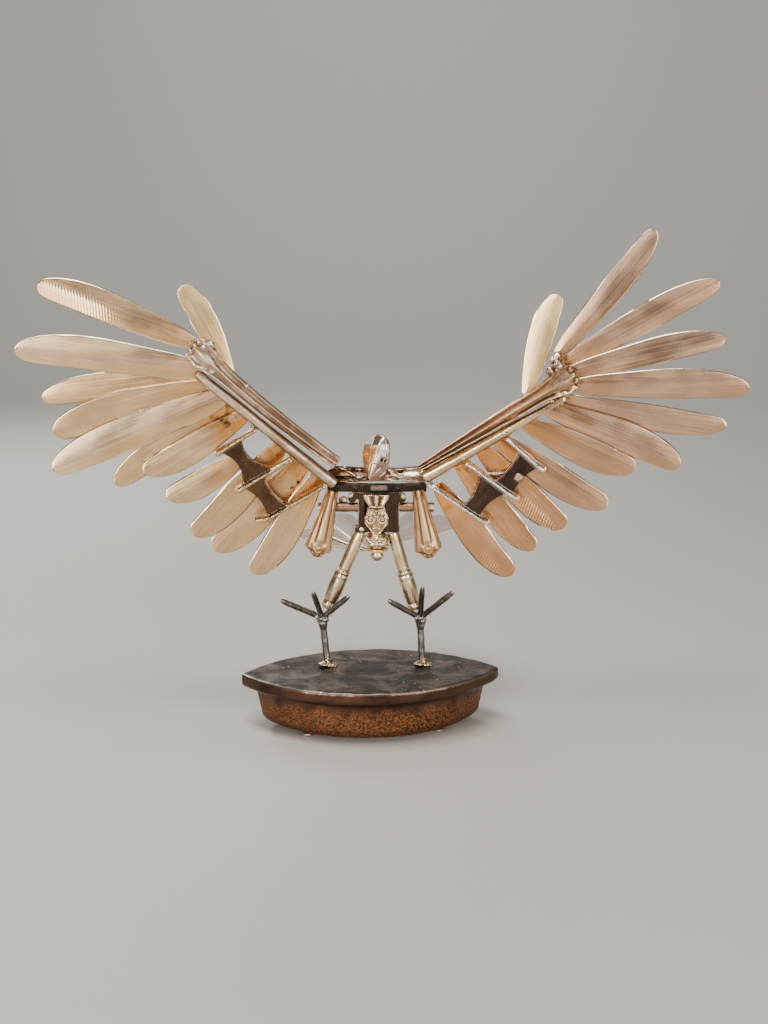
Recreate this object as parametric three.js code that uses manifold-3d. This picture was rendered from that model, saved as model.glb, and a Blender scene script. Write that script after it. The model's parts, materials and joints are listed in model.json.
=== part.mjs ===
import * as THREE from 'three';
import { mergeVertices } from 'three/addons/utils/BufferGeometryUtils.js';
import Module from 'manifold-3d';

// A welded hawk made of knife blades, cutlery handles, nails and small castings,
// standing on an upturned cast flat iron with two points.
// Millimetres, +Z up. The bird faces -Y. Left and right are the viewer's.

const wasm = await Module();
wasm.setup();

// Gap between two pieces that touch.
const fit = 0.3;

// Flat iron base: a sole plate with a rim, on an inset body with four studs.
const baseLength = 171;
const baseWidth = 95;
const baseTop = 36;
const baseTurn = 5;
const rimHeight = 8.6;
const rimEndInset = 10;
const rimSideInset = 5;
const bodyEndSlope = 4;
const bodySideSlope = 2;
const bodyRounding = 5;
const baseCorners = 14;
const studHeight = 2.5;
const studRadius = 3.2;
const studEndInset = 42.5;
const studSideInset = 25.5;
const studX = baseLength / 2 - studEndInset;
const studY = baseWidth / 2 - studSideInset;

// Feet: a stem nail and three talon nails welded to a hub.
const footX = 32.4;
const footY = 12.5;
const stemLength = 32;
const hubZ = baseTop + stemLength;
const hubRadius = 3.9;
const stemRadius = 2.1;
const talonRadius = 1.8;
const puddleRadius = 5.2;
const puddleHeight = 1.6;
const feet = [
  {
    side: 'left',
    stemLean: 3.3,
    talons: [[-27, -20, 18], [-5, -22, 24], [19, -20, 21]],
  },
  {
    side: 'right',
    stemLean: 1.5,
    talons: [[-22, -20, 18], [1, -20, 27], [22, -20, 24]],
  },
];

// Legs: two round handle pieces each, from the hip to the hub.
const bodyX = 4;
const hipX = 3.6;
const hipY = 9;
const hipSpread = 10.4;
const hipDrop = 1.3;
const thighRadius = 4.1;
const shinRadius = 5.1;
const ankleRise = { left: 7.5, right: 6.6 };
const ankleInset = 3.4;
const kneeShare = 0.54;

// Body: yoke, dark plate, frame, breast shield, hip collar and knob.
const bodyFront = 4;
const yokeLeft = -27.5;
const yokeRight = 38;
const yokeZ = 165.2;
const yokeHeight = 11;
const yokeDepth = 7;
const yokeWaist = 0.8;
const slotLength = 4;
const slotHeight = 1.5;
const slotLeftX = -8;
const slotRightX = 19;
const plateLeft = -28;
const plateRight = 36;
const plateTop = yokeZ - yokeHeight / 2 - fit;
const plateHeight = 4.8;
const plateDepth = 6.5;
const rivetRadius = 1.3;
const rivetSpread = 13.5;
const frameTop = plateTop - plateHeight - fit;
const frameHeight = 26.3;
const frameBottom = frameTop - frameHeight;
const frameDepth = 7;
const frameBack = bodyFront + fit + frameDepth;
const frameBackDepth = 2.5;
const frameBarHeight = 4.5;
const lowBarHeight = 3.6;
const frameBarHalf = 16;
const postLeftWidth = 4;
const postRightWidth = 8;
const postLeftX = -6;
const postRightX = 14;
const curlRadius = 3;
const stubRadius = 3.2;
const stubDrop = 10.4;
const stubZ = frameTop - stubDrop;
const stubEnds = { left: -34.5, right: 41 };
const washerRadius = 2.9;
const washerX = -18.2;
const washerRise = 3.9;
const shieldX = 3.6;
const shieldDrop = 1.1;
const shieldTop = frameTop - shieldDrop;
const shieldHeight = frameHeight - 0.9;
const shieldDepth = 4.4;
const shieldHalf = 8.7;
const scrollRadius = 2.6;
const scrollWire = 0.7;
const collarRadius = 7.6;
const collarHeight = 9.4;
const knobRadius = 4.3;
const knobRimRadius = 7.3;
const knobHeight = 8.8;

// Head: folded from thick sheet, beak down, looking to the left of the viewer.
const headSaddle = 1.3;
const headBase = yokeZ - headSaddle;
const headHeight = 28.5;
const headWidth = 17;
const headX = 1.4;
const headDepth = 22;
const headTurn = 24;

// Hanging handles under the shoulders.
const hangLength = 45;
const hangTopWidth = 8.5;
const hangEndWidth = 17.5;
const hangThickness = 4.6;
const hangDrop = 3.4;
const hangTopZ = plateTop - hangDrop;
const hangs = [
  { side: 'left', x: -24.6, lean: -14 },
  { side: 'right', x: 30.4, lean: 10 },
];

// Tail: six blades in a level fan, stacked one on the other like a spiral stair.
const tailY = 19;
const tailDrop = 19;
const tailZ = frameBottom - tailDrop;
const tailWidth = 21;
const tailThickness = 1.2;
const tailPitch = 1.35;
const tailFeathers = [
  { name: 'tail_feather_left_outer', turn: 126, start: 15, length: 78 },
  { name: 'tail_feather_left_middle', turn: 113, start: 12, length: 95 },
  { name: 'tail_feather_left_inner', turn: 103, start: 9, length: 109 },
  { name: 'tail_feather_right_inner', turn: 76, start: 9, length: 109 },
  { name: 'tail_feather_right_middle', turn: 65, start: 12, length: 95 },
  { name: 'tail_feather_right_outer', turn: 54.5, start: 13, length: 84 },
];
const tongueWidth = 9;
const tongueThickness = 3;
const tonguePadLength = 11;
const tonguePadHeight = 2.4;

// Blades: a lens section, stacked in layers behind the arms.
const bladeThickness = 1.6;
const bladeEdge = 0.7;
const layerPitch = 3;
const firstLayer = 1.8;
const neckShare = 0.36;
const neckLength = 12;
const heelShare = 0.64;
const tackRadius = 1.1;
const tackInset = 0.6;

// Wings. Each row is one blade: where its root is, along the lower bar from the
// shoulder and out from it, its turn from level, its length and width, its layer,
// its twist, and 1 or -1 for a belly on the upper or the lower side.
const wings = [
  {
    side: 'left',
    shoulder: [yokeLeft + 2.1, yokeZ - 3.2],
    turn: 140,
    sweep: 6,
    bar: { length: 107, inner: 7.6, outer: 6, thickness: 6.5 },
    handle: {
      start: [6, -11.4],
      turn: -0.4,
      length: 117,
      sag: 2.4,
      inner: 8.4,
      middle: 11,
      tip: 18.5,
      thickness: 8,
    },
    welds: [[119.5, -5.5, 2.6], [98, -6.4, 2.2]],
    ribs: [
      { at: 59, turn: 211, length: 30, hook: 0.5 },
      { at: 29, turn: 209, length: 41, hook: 0.5 },
      { at: 2, turn: 209.5, length: 50, hook: -3.4 },
    ],
    blades: [
      { root: [122.5, -13.3], turn: 159, length: 101.5, width: 20, layer: 2, twist: 3, belly: 1 },
      { root: [106.5, -4.2], turn: 172.8, length: 117.5, width: 21.5, layer: 1, twist: -2, belly: 1 },
      { root: [104, 0.5], turn: 186.3, length: 101.5, width: 18, layer: 3, twist: 2, belly: 1 },
      { root: [95, 0.5], turn: 194.8, length: 105, width: 23, layer: 2, twist: -3, belly: 1 },
      { root: [86.5, 0.5], turn: 202.3, length: 118, width: 23, layer: 1, twist: 3, belly: 1 },
      { root: [77.5, 0], turn: 212.5, length: 93, width: 19, layer: 2, twist: -2, belly: 1 },
      { root: [68.5, 0], turn: 208.5, length: 76, width: 19, layer: 1, twist: 2, belly: -1 },
      { root: [52, 23], turn: 206.5, length: 56.5, width: 18, layer: 2, twist: 3, belly: -1 },
      { root: [38, 0], turn: 225, length: 85, width: 21, layer: 3, twist: -2, belly: -1 },
      { root: [19.5, 0], turn: 224, length: 85, width: 22.5, layer: 4, twist: 2, belly: -1 },
      { root: [8.5, 0.5], turn: 236.5, length: 80, width: 21, layer: 2, twist: -2, belly: -1 },
    ],
    thumb: { root: [93, -13], turn: 118, length: 62, width: 17, layer: 1, twist: 2, belly: 1 },
    webs: [
      { upper: [10, 27], lower: [12, 37], waist: 9 },
      { upper: [19.5, 36], lower: [26, 42], waist: 9.5 },
    ],
  },
  {
    side: 'right',
    shoulder: [yokeRight - 1.4, yokeZ + 0.8],
    turn: 30.7,
    sweep: 6,
    bar: { length: 98, inner: 8.6, outer: 4.4, thickness: 6.5 },
    handle: {
      start: [-1, -7.2],
      turn: 1.4,
      length: 115,
      sag: 0,
      inner: 4.4,
      middle: 10.6,
      tip: 18.5,
      thickness: 8,
    },
    welds: [[106.5, -21.5, 4], [109, -24.6, 3.6], [100.5, -19.3, 3]],
    ribs: [
      { at: 56, turn: -41, length: 32, hook: 0.5 },
      { at: 26, turn: -35.5, length: 41, hook: 0.5 },
      { at: -2, turn: -33.5, length: 46, hook: 0.8 },
    ],
    blades: [
      { root: [109, -25], turn: 52.9, length: 97, width: 16.5, layer: 4, twist: -2, belly: -1 },
      { root: [107, -17.5], turn: 29, length: 110, width: 18, layer: 3, twist: 2, belly: 1 },
      { root: [109.5, -12], turn: 13, length: 98.5, width: 17, layer: 2, twist: -3, belly: 1 },
      { root: [108, -3.4], turn: 0.2, length: 108.5, width: 19.5, layer: 1, twist: 2, belly: 1 },
      { root: [96.5, 1.5], turn: -7.9, length: 105, width: 17.5, layer: 3, twist: 3, belly: -1 },
      { root: [86, 0], turn: -22.5, length: 93, width: 21, layer: 2, twist: -2, belly: 1 },
      { root: [69, 0], turn: -22, length: 78, width: 20, layer: 1, twist: 2, belly: -1 },
      { root: [48.5, 0], turn: -30.5, length: 85, width: 20, layer: 1, twist: -2, belly: -1 },
      { root: [37, 0], turn: -43, length: 77, width: 21, layer: 2, twist: 2, belly: -1 },
      { root: [20.5, 0], turn: -49.5, length: 79, width: 19, layer: 3, twist: -2, belly: -1 },
      { root: [1, 9], turn: -50, length: 77, width: 20, layer: 2, twist: 2, belly: -1 },
    ],
    thumb: { root: [80, -14], turn: 73.5, length: 65, width: 17, layer: 1, twist: -2, belly: 1 },
    webs: [
      { upper: [11, 27], lower: [21, 36], waist: 11 },
      { upper: [10, 33], lower: [25, 39], waist: 12 },
    ],
  },
];

// Bracket ribs start just off the lower bar.
const ribStand = 0.7;
const ribHalf = 1.7;
const ribDepth = 7.5;
const webDepth = 5.2;

// Screw through the right bracket.
const screwRadius = 3;
const screwHeight = 5;

const degrees = THREE.MathUtils.degToRad;

function metal(color, roughness) {
  return new THREE.MeshStandardMaterial({ color, roughness, metalness: 1 });
}

const bladeSilver = metal(0xcdb496, 0.35);
const bladeCopper = metal(0xc69a74, 0.38);
const handleSilver = metal(0xb8a68e, 0.32);
const handleCopper = metal(0xa9805c, 0.36);
const brass = metal(0xb99a5c, 0.3);
const darkBronze = metal(0x5a4636, 0.42);
const darkSteel = metal(0x4c4a48, 0.5);
const castIron = metal(0x3b302a, 0.7);
const studMetal = metal(0xcbb58a, 0.4);

const hawk = new THREE.Group();

function place(parent, name, geometry, material) {
  const piece = new THREE.Mesh(geometry, material);
  piece.name = name;
  parent.add(piece);
  return piece;
}

// One closed skin over a row of rings that have the same number of corners.
function skin(rings) {
  const corners = rings[0].length;
  const points = rings.flat();
  const firstMiddle = points.length;
  for (const ring of [rings[0], rings.at(-1)]) {
    const middle = new THREE.Vector3();
    ring.forEach((point) => middle.add(point));
    points.push(middle.divideScalar(corners));
  }
  const index = [];
  for (let row = 0; row + 1 < rings.length; row += 1) {
    for (let corner = 0; corner < corners; corner += 1) {
      const a = row * corners + corner;
      const b = row * corners + (corner + 1) % corners;
      index.push(a, b, b + corners, a, b + corners, a + corners);
    }
  }
  const lastRow = (rings.length - 1) * corners;
  for (let corner = 0; corner < corners; corner += 1) {
    const next = (corner + 1) % corners;
    index.push(firstMiddle, next, corner);
    index.push(firstMiddle + 1, lastRow + corner, lastRow + next);
  }
  const geometry = new THREE.BufferGeometry().setFromPoints(points);
  geometry.setIndex(index);
  return facingOut(geometry);
}

// Turns every face over when the faces point in.
function facingOut(geometry) {
  const vertices = geometry.attributes.position;
  const index = geometry.index.array;
  const [a, b, c] = [new THREE.Vector3(), new THREE.Vector3(), new THREE.Vector3()];
  let volume = 0;
  for (let i = 0; i < index.length; i += 3) {
    a.fromBufferAttribute(vertices, index[i]);
    b.fromBufferAttribute(vertices, index[i + 1]);
    c.fromBufferAttribute(vertices, index[i + 2]);
    volume += a.dot(b.cross(c));
  }
  if (volume < 0) {
    for (let i = 0; i < index.length; i += 3) {
      [index[i], index[i + 1]] = [index[i + 1], index[i]];
    }
  }
  return geometry;
}

function toSolid(geometry) {
  const bare = geometry.clone();
  bare.deleteAttribute('normal');
  bare.deleteAttribute('uv');
  const merged = mergeVertices(bare, 1e-4);
  return new wasm.Manifold(new wasm.Mesh({
    numProp: 3,
    vertProperties: Float32Array.from(merged.attributes.position.array),
    triVerts: Uint32Array.from(merged.index.array),
  }));
}

function toGeometry(solid) {
  const mesh = solid.getMesh();
  const geometry = new THREE.BufferGeometry();
  geometry.setAttribute('position', new THREE.BufferAttribute(mesh.vertProperties, 3));
  geometry.setIndex(new THREE.BufferAttribute(mesh.triVerts, 1));
  return geometry;
}

function fused(geometries) {
  const [first, ...others] = geometries.map(toSolid);
  return toGeometry(others.reduce((whole, next) => whole.add(next), first));
}

function less(geometry, cutters) {
  const whole = toSolid(geometry);
  return toGeometry(cutters.map(toSolid).reduce((rest, next) => rest.subtract(next), whole));
}

function bead(radius, x, y, z) {
  return new THREE.IcosahedronGeometry(radius, 0).translate(x, y, z);
}

function box(width, depth, height, x, y, z) {
  return new THREE.BoxGeometry(width, depth, height).translate(x, y, z);
}

// Turns a shape that was made along +X to a direction in the upright plane.
function aimed(geometry, turn, x, z) {
  return geometry.rotateY(-degrees(turn)).translate(x, 0, z);
}

// Lays an upright round form, made along +Y, from one point to another.
function between(geometry, from, to) {
  const way = to.clone().sub(from).normalize();
  const turn = new THREE.Quaternion().setFromUnitVectors(new THREE.Vector3(0, 1, 0), way);
  return geometry.applyQuaternion(turn).translate(from.x, from.y, from.z);
}

function turned(profile, sides) {
  const points = profile.map(([radius, along]) => new THREE.Vector2(radius, along));
  return new THREE.LatheGeometry(points, sides);
}

// A table knife blade along +X, its belly towards +Z or -Z.
function knife({ length, width, belly, twist = 0, thickness = bladeThickness }) {
  const steps = [0, 0.1, 0.3, 0.52, 0.7, 0.84, 0.94, 0.985, 1];
  const bellyShare = 0.5;
  const spineShare = 0.09;
  const tipShare = -0.42;
  const half = width / 2;
  const rings = steps.map((step) => {
    const along = step * length;
    const neckStart = neckShare / heelShare;
    const neck = Math.min(1, neckStart + (1 - neckStart) * along / neckLength);
    const swell = heelShare + (1 - heelShare) * THREE.MathUtils.smoothstep(step, 0, 0.62);
    const full = half * neck * swell;
    const bellyAt = Math.max(0, (step - 1 + bellyShare) / bellyShare);
    const spineAt = Math.max(0, (step - 1 + spineShare) / spineShare);
    const roundBelly = Math.sqrt(Math.max(0.004, 1 - bellyAt ** 2.3));
    const roundSpine = Math.sqrt(Math.max(0.004, 1 - spineAt ** 2));
    const tip = tipShare * half * Math.min(1, step / 0.5);
    const upper = tip + (full - tip) * roundBelly;
    const lower = tip + (-full - tip) * roundSpine;
    const middle = (upper + lower) / 2;
    const fall = -belly * tipShare * half * step;
    const crown = (thickness - 0.4 * step) / 2;
    const edge = bladeEdge / 2;
    const corners = [
      [upper, -edge],
      [middle, -crown],
      [lower, -edge],
      [lower, edge],
      [middle, crown],
      [upper, edge],
    ];
    return corners.map(([across, depth]) => new THREE.Vector3(along, depth, belly * across + fall));
  });
  return skin(rings).rotateX(degrees(twist));
}

// A cutlery handle along +X with a flat back, a raised border and a crowned middle.
function cutleryHandle(steps, thickness, rim) {
  const rings = steps.map(({ along, half, offset = 0, thin = 1 }) => {
    const high = thickness * thin;
    const border = Math.min(rim, half / 3);
    const corners = [
      [-half, 0],
      [-half, -0.5 * high],
      [-half + 0.5 * border, -0.86 * high],
      [-half + 1.5 * border, -0.66 * high],
      [0, -high],
      [half - 1.5 * border, -0.66 * high],
      [half - 0.5 * border, -0.86 * high],
      [half, -0.5 * high],
      [half, 0],
    ];
    return corners.map(([across, depth]) => new THREE.Vector3(along, depth, across + offset));
  });
  return skin(rings);
}

// A bar along +X with a flat back and a rounded front.
function roundedBar(steps, thickness) {
  const rings = steps.map(({ along, half, offset = 0, thin = 1 }) => {
    const high = thickness * thin;
    const corners = [[-half, 0], [-half, -0.55 * high], [-0.5 * half, -high]];
    const mirrored = corners.map(([across, depth]) => [-across, depth]).reverse();
    const ring = [...corners, ...mirrored];
    return ring.map(([across, depth]) => new THREE.Vector3(along, depth, across + offset));
  });
  return skin(rings);
}

// The pointed oval of the iron: two arcs that meet at blunt tips.
function ovalRing(halfLength, halfWidth, z) {
  const radius = (halfLength ** 2 + halfWidth ** 2) / (2 * halfWidth);
  const ring = [];
  for (const way of [1, -1]) {
    for (let corner = 0; corner < baseCorners; corner += 1) {
      const share = -Math.cos(Math.PI * (corner + 0.5) / baseCorners);
      const x = way * share * halfLength;
      const y = Math.sqrt(radius ** 2 - x ** 2) - (radius - halfWidth);
      ring.push(new THREE.Vector3(x, -way * y, z));
    }
  }
  return ring;
}

function makeBase() {
  const halfLength = baseLength / 2;
  const halfWidth = baseWidth / 2;
  const bodyTop = baseTop - rimHeight;
  const rows = [
    [bodyEndSlope + bodyRounding, bodySideSlope + bodyRounding * 0.5, studHeight],
    [bodyEndSlope + bodyRounding * 0.3, bodySideSlope + 0.8, studHeight + bodyRounding * 0.4],
    [bodyEndSlope * 0.8, bodySideSlope * 0.8, studHeight + bodyRounding],
    [0, 0, bodyTop - 3.4],
    [-rimEndInset * 0.25, -rimSideInset * 0.3, bodyTop - 1],
  ].map(([end, side, z]) => {
    return ovalRing(halfLength - rimEndInset - end, halfWidth - rimSideInset - side, z);
  });
  rows.push(ovalRing(halfLength - 1.6, halfWidth - 1.2, bodyTop));
  rows.push(ovalRing(halfLength, halfWidth, bodyTop + 1.4));
  rows.push(ovalRing(halfLength, halfWidth, baseTop - 1));
  rows.push(ovalRing(halfLength - 0.8, halfWidth - 0.8, baseTop));
  const group = new THREE.Group();
  group.rotation.z = degrees(baseTurn);
  hawk.add(group);
  place(group, 'flat_iron_base', skin(rows), castIron);
  for (const [endName, x] of [['left', -studX], ['right', studX]]) {
    for (const [sideName, y] of [['front', -studY], ['back', studY]]) {
      const profile = [
        [0, 0],
        [studRadius * 0.72, 0],
        [studRadius, studHeight * 0.5],
        [studRadius * 0.9, studHeight - fit],
        [0, studHeight - fit],
      ];
      const stud = turned(profile, 12).rotateX(Math.PI / 2).translate(x, y, 0);
      place(group, `base_stud_${sideName}_${endName}`, stud, studMetal);
    }
  }
}

function nail(from, to, radius) {
  const length = from.distanceTo(to);
  const profile = [[0, 0], [radius, 0], [radius, length * 0.76], [radius * 0.8, length * 0.92], [0, length]];
  return between(turned(profile, 6), from, to);
}

function makeFoot({ side, stemLean, talons }) {
  const x = side === 'left' ? -footX : footX;
  const hub = new THREE.Vector3(x, footY, hubZ);
  const stemX = x + stemLean;
  const stemFoot = new THREE.Vector3(stemX, footY, baseTop + fit);
  const length = stemFoot.distanceTo(hub);
  const puddle = [
    [0, 0],
    [puddleRadius, 0],
    [puddleRadius * 0.7, puddleHeight],
    [stemRadius, puddleHeight * 2.2],
    [0, puddleHeight * 2.2],
  ];
  const stem = [
    [0, puddleHeight * 0.6],
    [stemRadius, puddleHeight * 0.6],
    [stemRadius, length * 0.76],
    [hubRadius * 0.7, length * 0.82],
    [hubRadius * 0.8, length * 0.9],
    [hubRadius, length],
    [hubRadius * 0.75, length + 2.2],
    [0, length + 3],
  ];
  const pieces = [
    turned(puddle, 8).rotateX(Math.PI / 2).translate(stemX, footY, baseTop + fit),
    between(turned(stem, 8), stemFoot, hub),
  ];
  for (const [dx, dy, dz] of talons) {
    pieces.push(nail(hub, new THREE.Vector3(x + dx, footY + dy, hubZ + dz), talonRadius));
  }
  place(hawk, `${side}_foot`, fused(pieces), darkSteel);
}

function makeLeg(side, way) {
  const top = new THREE.Vector3(hipX + way * hipSpread, hipY, frameBottom - hipDrop);
  const end = new THREE.Vector3(way * (footX - ankleInset), footY, hubZ + ankleRise[side]);
  const length = top.distanceTo(end);
  const knee = length * kneeShare;
  const thigh = [
    [0, 0],
    [thighRadius * 0.8, 0],
    [thighRadius, 2],
    [thighRadius * 1.05, knee * 0.6],
    [thighRadius * 0.96, knee - 3],
    [thighRadius * 1.12, knee - 2],
    [thighRadius * 1.12, knee - fit],
    [0, knee - fit],
  ];
  const shin = [
    [0, 0],
    [shinRadius * 0.95, 0],
    [shinRadius, 2],
    [shinRadius * 1.02, (length - knee) * 0.5],
    [shinRadius * 0.82, length - knee - 3.5],
    [shinRadius * 0.98, length - knee - 2.6],
    [shinRadius * 0.86, length - knee],
    [0, length - knee],
  ];
  const kneePoint = top.clone().lerp(end, kneeShare);
  place(hawk, `${side}_thigh`, between(turned(thigh, 10), top, end), brass);
  place(hawk, `${side}_shin`, between(turned(shin, 10), kneePoint, end), brass);
}

function makeYoke() {
  const length = yokeRight - yokeLeft;
  const half = yokeHeight / 2;
  const steps = [
    { along: 0, half: half * 0.7 },
    { along: length * 0.06, half },
    { along: length * 0.2, half: half * 0.92 },
    { along: length * 0.36, half: half * yokeWaist },
    { along: length * 0.64, half: half * yokeWaist },
    { along: length * 0.8, half: half * 0.92 },
    { along: length * 0.94, half },
    { along: length, half: half * 0.7 },
  ];
  const back = bodyFront + fit + yokeDepth;
  const yoke = cutleryHandle(steps, yokeDepth, 1.8).translate(yokeLeft, back, yokeZ);
  const slots = [slotLeftX, slotRightX].map((x) => {
    return box(slotLength, 3 * yokeDepth, slotHeight, x, back, yokeZ);
  });
  place(hawk, 'shoulder_yoke', less(yoke, slots), handleSilver);
}

function makePlate() {
  const y = bodyFront + fit + plateDepth / 2;
  const z = plateTop - plateHeight / 2;
  const plate = box(plateRight - plateLeft, plateDepth, plateHeight, (plateLeft + plateRight) / 2, y, z);
  const rivets = [-rivetSpread, rivetSpread].map((x) => {
    return bead(rivetRadius, bodyX + x, y - plateDepth / 2, z);
  });
  place(hawk, 'shoulder_plate', fused([plate, ...rivets]), darkSteel);
}

function makeBodyFrame() {
  const y = bodyFront + fit + frameDepth / 2;
  const middle = (frameTop + frameBottom) / 2;
  const backY = frameBack - frameBackDepth / 2;
  const plateWidth = postRightX - postLeftX;
  const pieces = [
    box(2 * frameBarHalf, frameDepth, frameBarHeight, bodyX, y, frameTop - frameBarHeight / 2),
    box(1.8 * frameBarHalf, frameDepth, lowBarHeight, bodyX, y, frameBottom + lowBarHeight / 2),
    box(postLeftWidth, frameDepth, frameHeight, postLeftX, y, middle),
    box(postRightWidth, frameDepth, frameHeight, postRightX, y, middle),
    box(plateWidth, frameBackDepth, frameHeight, (postLeftX + postRightX) / 2, backY, middle),
  ];
  const padZ = tailZ + (tailFeathers.length - 1) * tailPitch + tailThickness / 2 + fit + tonguePadHeight / 2;
  pieces.push(box(tongueWidth, tonguePadLength, tonguePadHeight, bodyX, tailY + tonguePadLength / 2, padZ));
  const tongueTop = new THREE.Vector3(bodyX, frameBack, frameBottom + frameBarHeight / 2);
  const tongueEnd = new THREE.Vector3(bodyX, tailY + tonguePadLength / 4, padZ);
  const tongue = new THREE.BoxGeometry(tongueWidth, tongueTop.distanceTo(tongueEnd), tongueThickness)
    .translate(0, tongueTop.distanceTo(tongueEnd) / 2, 0);
  pieces.push(between(tongue, tongueTop, tongueEnd));
  for (const way of [-1, 1]) {
    const curl = new THREE.CylinderGeometry(curlRadius, curlRadius, frameDepth, 8);
    pieces.push(curl.translate(bodyX + way * frameBarHalf, y, frameTop - curlRadius - 1));
  }
  place(hawk, 'body_frame', fused(pieces), darkBronze);
  for (const [side, edge] of [
    ['left', postLeftX - postLeftWidth / 2 - fit],
    ['right', postRightX + postRightWidth / 2 + fit],
  ]) {
    const length = Math.abs(stubEnds[side] - edge);
    const rod = new THREE.CylinderGeometry(stubRadius, stubRadius, length, 10)
      .rotateZ(Math.PI / 2).translate((edge + stubEnds[side]) / 2, y, stubZ);
    const washer = new THREE.CylinderGeometry(washerRadius, washerRadius, 2, 10)
      .translate(washerX, y + 3, stubZ + washerRise);
    place(hawk, `${side}_stub_rod`, side === 'left' ? fused([rod, washer]) : rod, darkBronze);
  }
}

// The shield's half width by height: flared top, waist, broad middle, point.
function makeShield() {
  const rows = [
    [0, 0.36],
    [0.1, 0.5],
    [0.24, 0.86],
    [0.42, 0.88],
    [0.58, 0.66],
    [0.72, 0.6],
    [0.88, 0.9],
    [1, 1],
  ];
  const front = bodyFront - shieldDepth;
  const rings = rows.map(([height, share]) => {
    const z = shieldTop - shieldHeight + height * shieldHeight;
    const half = share * shieldHalf;
    const corners = [
      [-half, bodyFront],
      [-half, front + 1.6],
      [-half * 0.5, front + 0.4],
      [0, front],
    ];
    const mirrored = corners.slice(0, 3).map(([x, y]) => [-x, y]).reverse();
    return [...corners, ...mirrored].map(([x, y]) => new THREE.Vector3(shieldX + x, y, z));
  });
  const scrollZ = shieldTop - 0.62 * shieldHeight;
  const scrolls = [-1, 1].map((way) => new THREE.TorusGeometry(scrollRadius, scrollWire, 4, 9)
    .rotateX(Math.PI / 2).translate(shieldX + way * scrollRadius * 1.25, front + 0.6, scrollZ));
  const diamond = new THREE.OctahedronGeometry(1.8, 0).translate(shieldX, front + 0.3, scrollZ + 5.4);
  place(hawk, 'breast_shield', fused([skin(rings), ...scrolls, diamond]), brass);
}

function makeHip() {
  const top = frameBottom - fit;
  const profile = [
    [0, 0],
    [collarRadius * 0.7, 0],
    [collarRadius * 0.95, -collarHeight * 0.25],
    [collarRadius * 0.82, -collarHeight * 0.42],
    [collarRadius, -collarHeight * 0.62],
    [collarRadius * 0.86, -collarHeight * 0.86],
    [collarRadius * 0.7, -collarHeight],
    [0, -collarHeight],
  ];
  const collarY = bodyFront - 1;
  const collar = turned(profile.reverse(), 12).rotateX(Math.PI / 2).translate(bodyX, collarY, top);
  place(hawk, 'hip_collar', collar, handleSilver);
  const knobTop = top - collarHeight - fit;
  const ball = [[0, -knobHeight]];
  for (const turn of [-60, -30, 0, 30]) {
    const around = knobRadius * Math.cos(degrees(turn));
    ball.push([around, -knobHeight + knobRadius * (1 + Math.sin(degrees(turn)))]);
  }
  ball.push(
    [knobRimRadius * 0.55, -1.9],
    [knobRimRadius, -1.5],
    [knobRimRadius, -0.4],
    [knobRimRadius * 0.8, 0],
    [0, 0],
  );
  const knob = turned(ball, 12).rotateX(Math.PI / 2).translate(bodyX, collarY, knobTop);
  place(hawk, 'tail_knob', knob, brass);
}

// Head rings from the throat up. Each row gives the height, half width, front and back.
function makeHead() {
  const rows = [
    [0, 0.3, -0.5, 0.1],
    [0.12, 0.62, -0.62, 0.3],
    [0.3, 0.86, -0.62, 0.45],
    [0.42, 0.94, -0.56, 0.5],
    [0.62, 1, -0.52, 0.62],
    [0.82, 0.9, -0.4, 0.6],
    [0.94, 0.56, -0.22, 0.4],
    [1, 0.2, 0, 0.16],
  ];
  const half = headWidth / 2;
  const twist = degrees(headTurn);
  const rings = rows.map(([height, wide, front, back]) => {
    const z = headBase + height * headHeight;
    const corners = [
      [-0.16, front],
      [-wide, front * 0.45],
      [-wide * 0.8, back * 0.7],
      [0, back],
      [wide * 0.8, back * 0.7],
      [wide, front * 0.3],
    ];
    return corners.map(([x, y]) => {
      const shiftX = x * half;
      const shiftY = y * headDepth;
      const turnShare = twist * (y < 0 ? 1 : 0);
      return new THREE.Vector3(bodyX + headX + shiftX + shiftY * Math.sin(turnShare), shiftY, z);
    });
  });
  const beakFrom = new THREE.Vector3(bodyX - 2, -11, headBase + 0.42 * headHeight);
  const beakTo = new THREE.Vector3(bodyX - 4.6, -13, headBase + 1);
  const beakProfile = [[0, 0], [4, 0], [3.4, 5], [1.6, 9], [0, beakFrom.distanceTo(beakTo)]];
  const beak = between(turned(beakProfile, 6), beakFrom, beakTo);
  const yokeTop = yokeZ + yokeWaist * yokeHeight / 2 + fit;
  const besideYoke = box(60, 40, 60, bodyX, bodyFront + 20, yokeTop - 30);
  place(hawk, 'head', less(fused([skin(rings), beak]), [besideYoke]), handleCopper);
}

function makeHang({ side, x, lean }) {
  const top = hangTopWidth / 2;
  const end = hangEndWidth / 2;
  const steps = [
    { along: 0, half: top * 0.9 },
    { along: hangLength * 0.1, half: top },
    { along: hangLength * 0.45, half: (top + end) / 2.1 },
    { along: hangLength * 0.76, half: end * 0.94 },
    { along: hangLength * 0.86, half: end },
    { along: hangLength * 0.885, half: end * 0.95 },
    { along: hangLength * 0.92, half: end * 0.66 },
    { along: hangLength * 0.955, half: end * 0.5 },
    { along: hangLength * 0.985, half: end * 0.36 },
    { along: hangLength, half: end * 0.16, thin: 0.8 },
  ];
  const handle = aimed(cutleryHandle(steps, hangThickness, 1.6), -90 + lean, x, hangTopZ);
  place(hawk, `${side}_hanging_handle`, handle.translate(0, bodyFront, 0), handleCopper);
}

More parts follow.
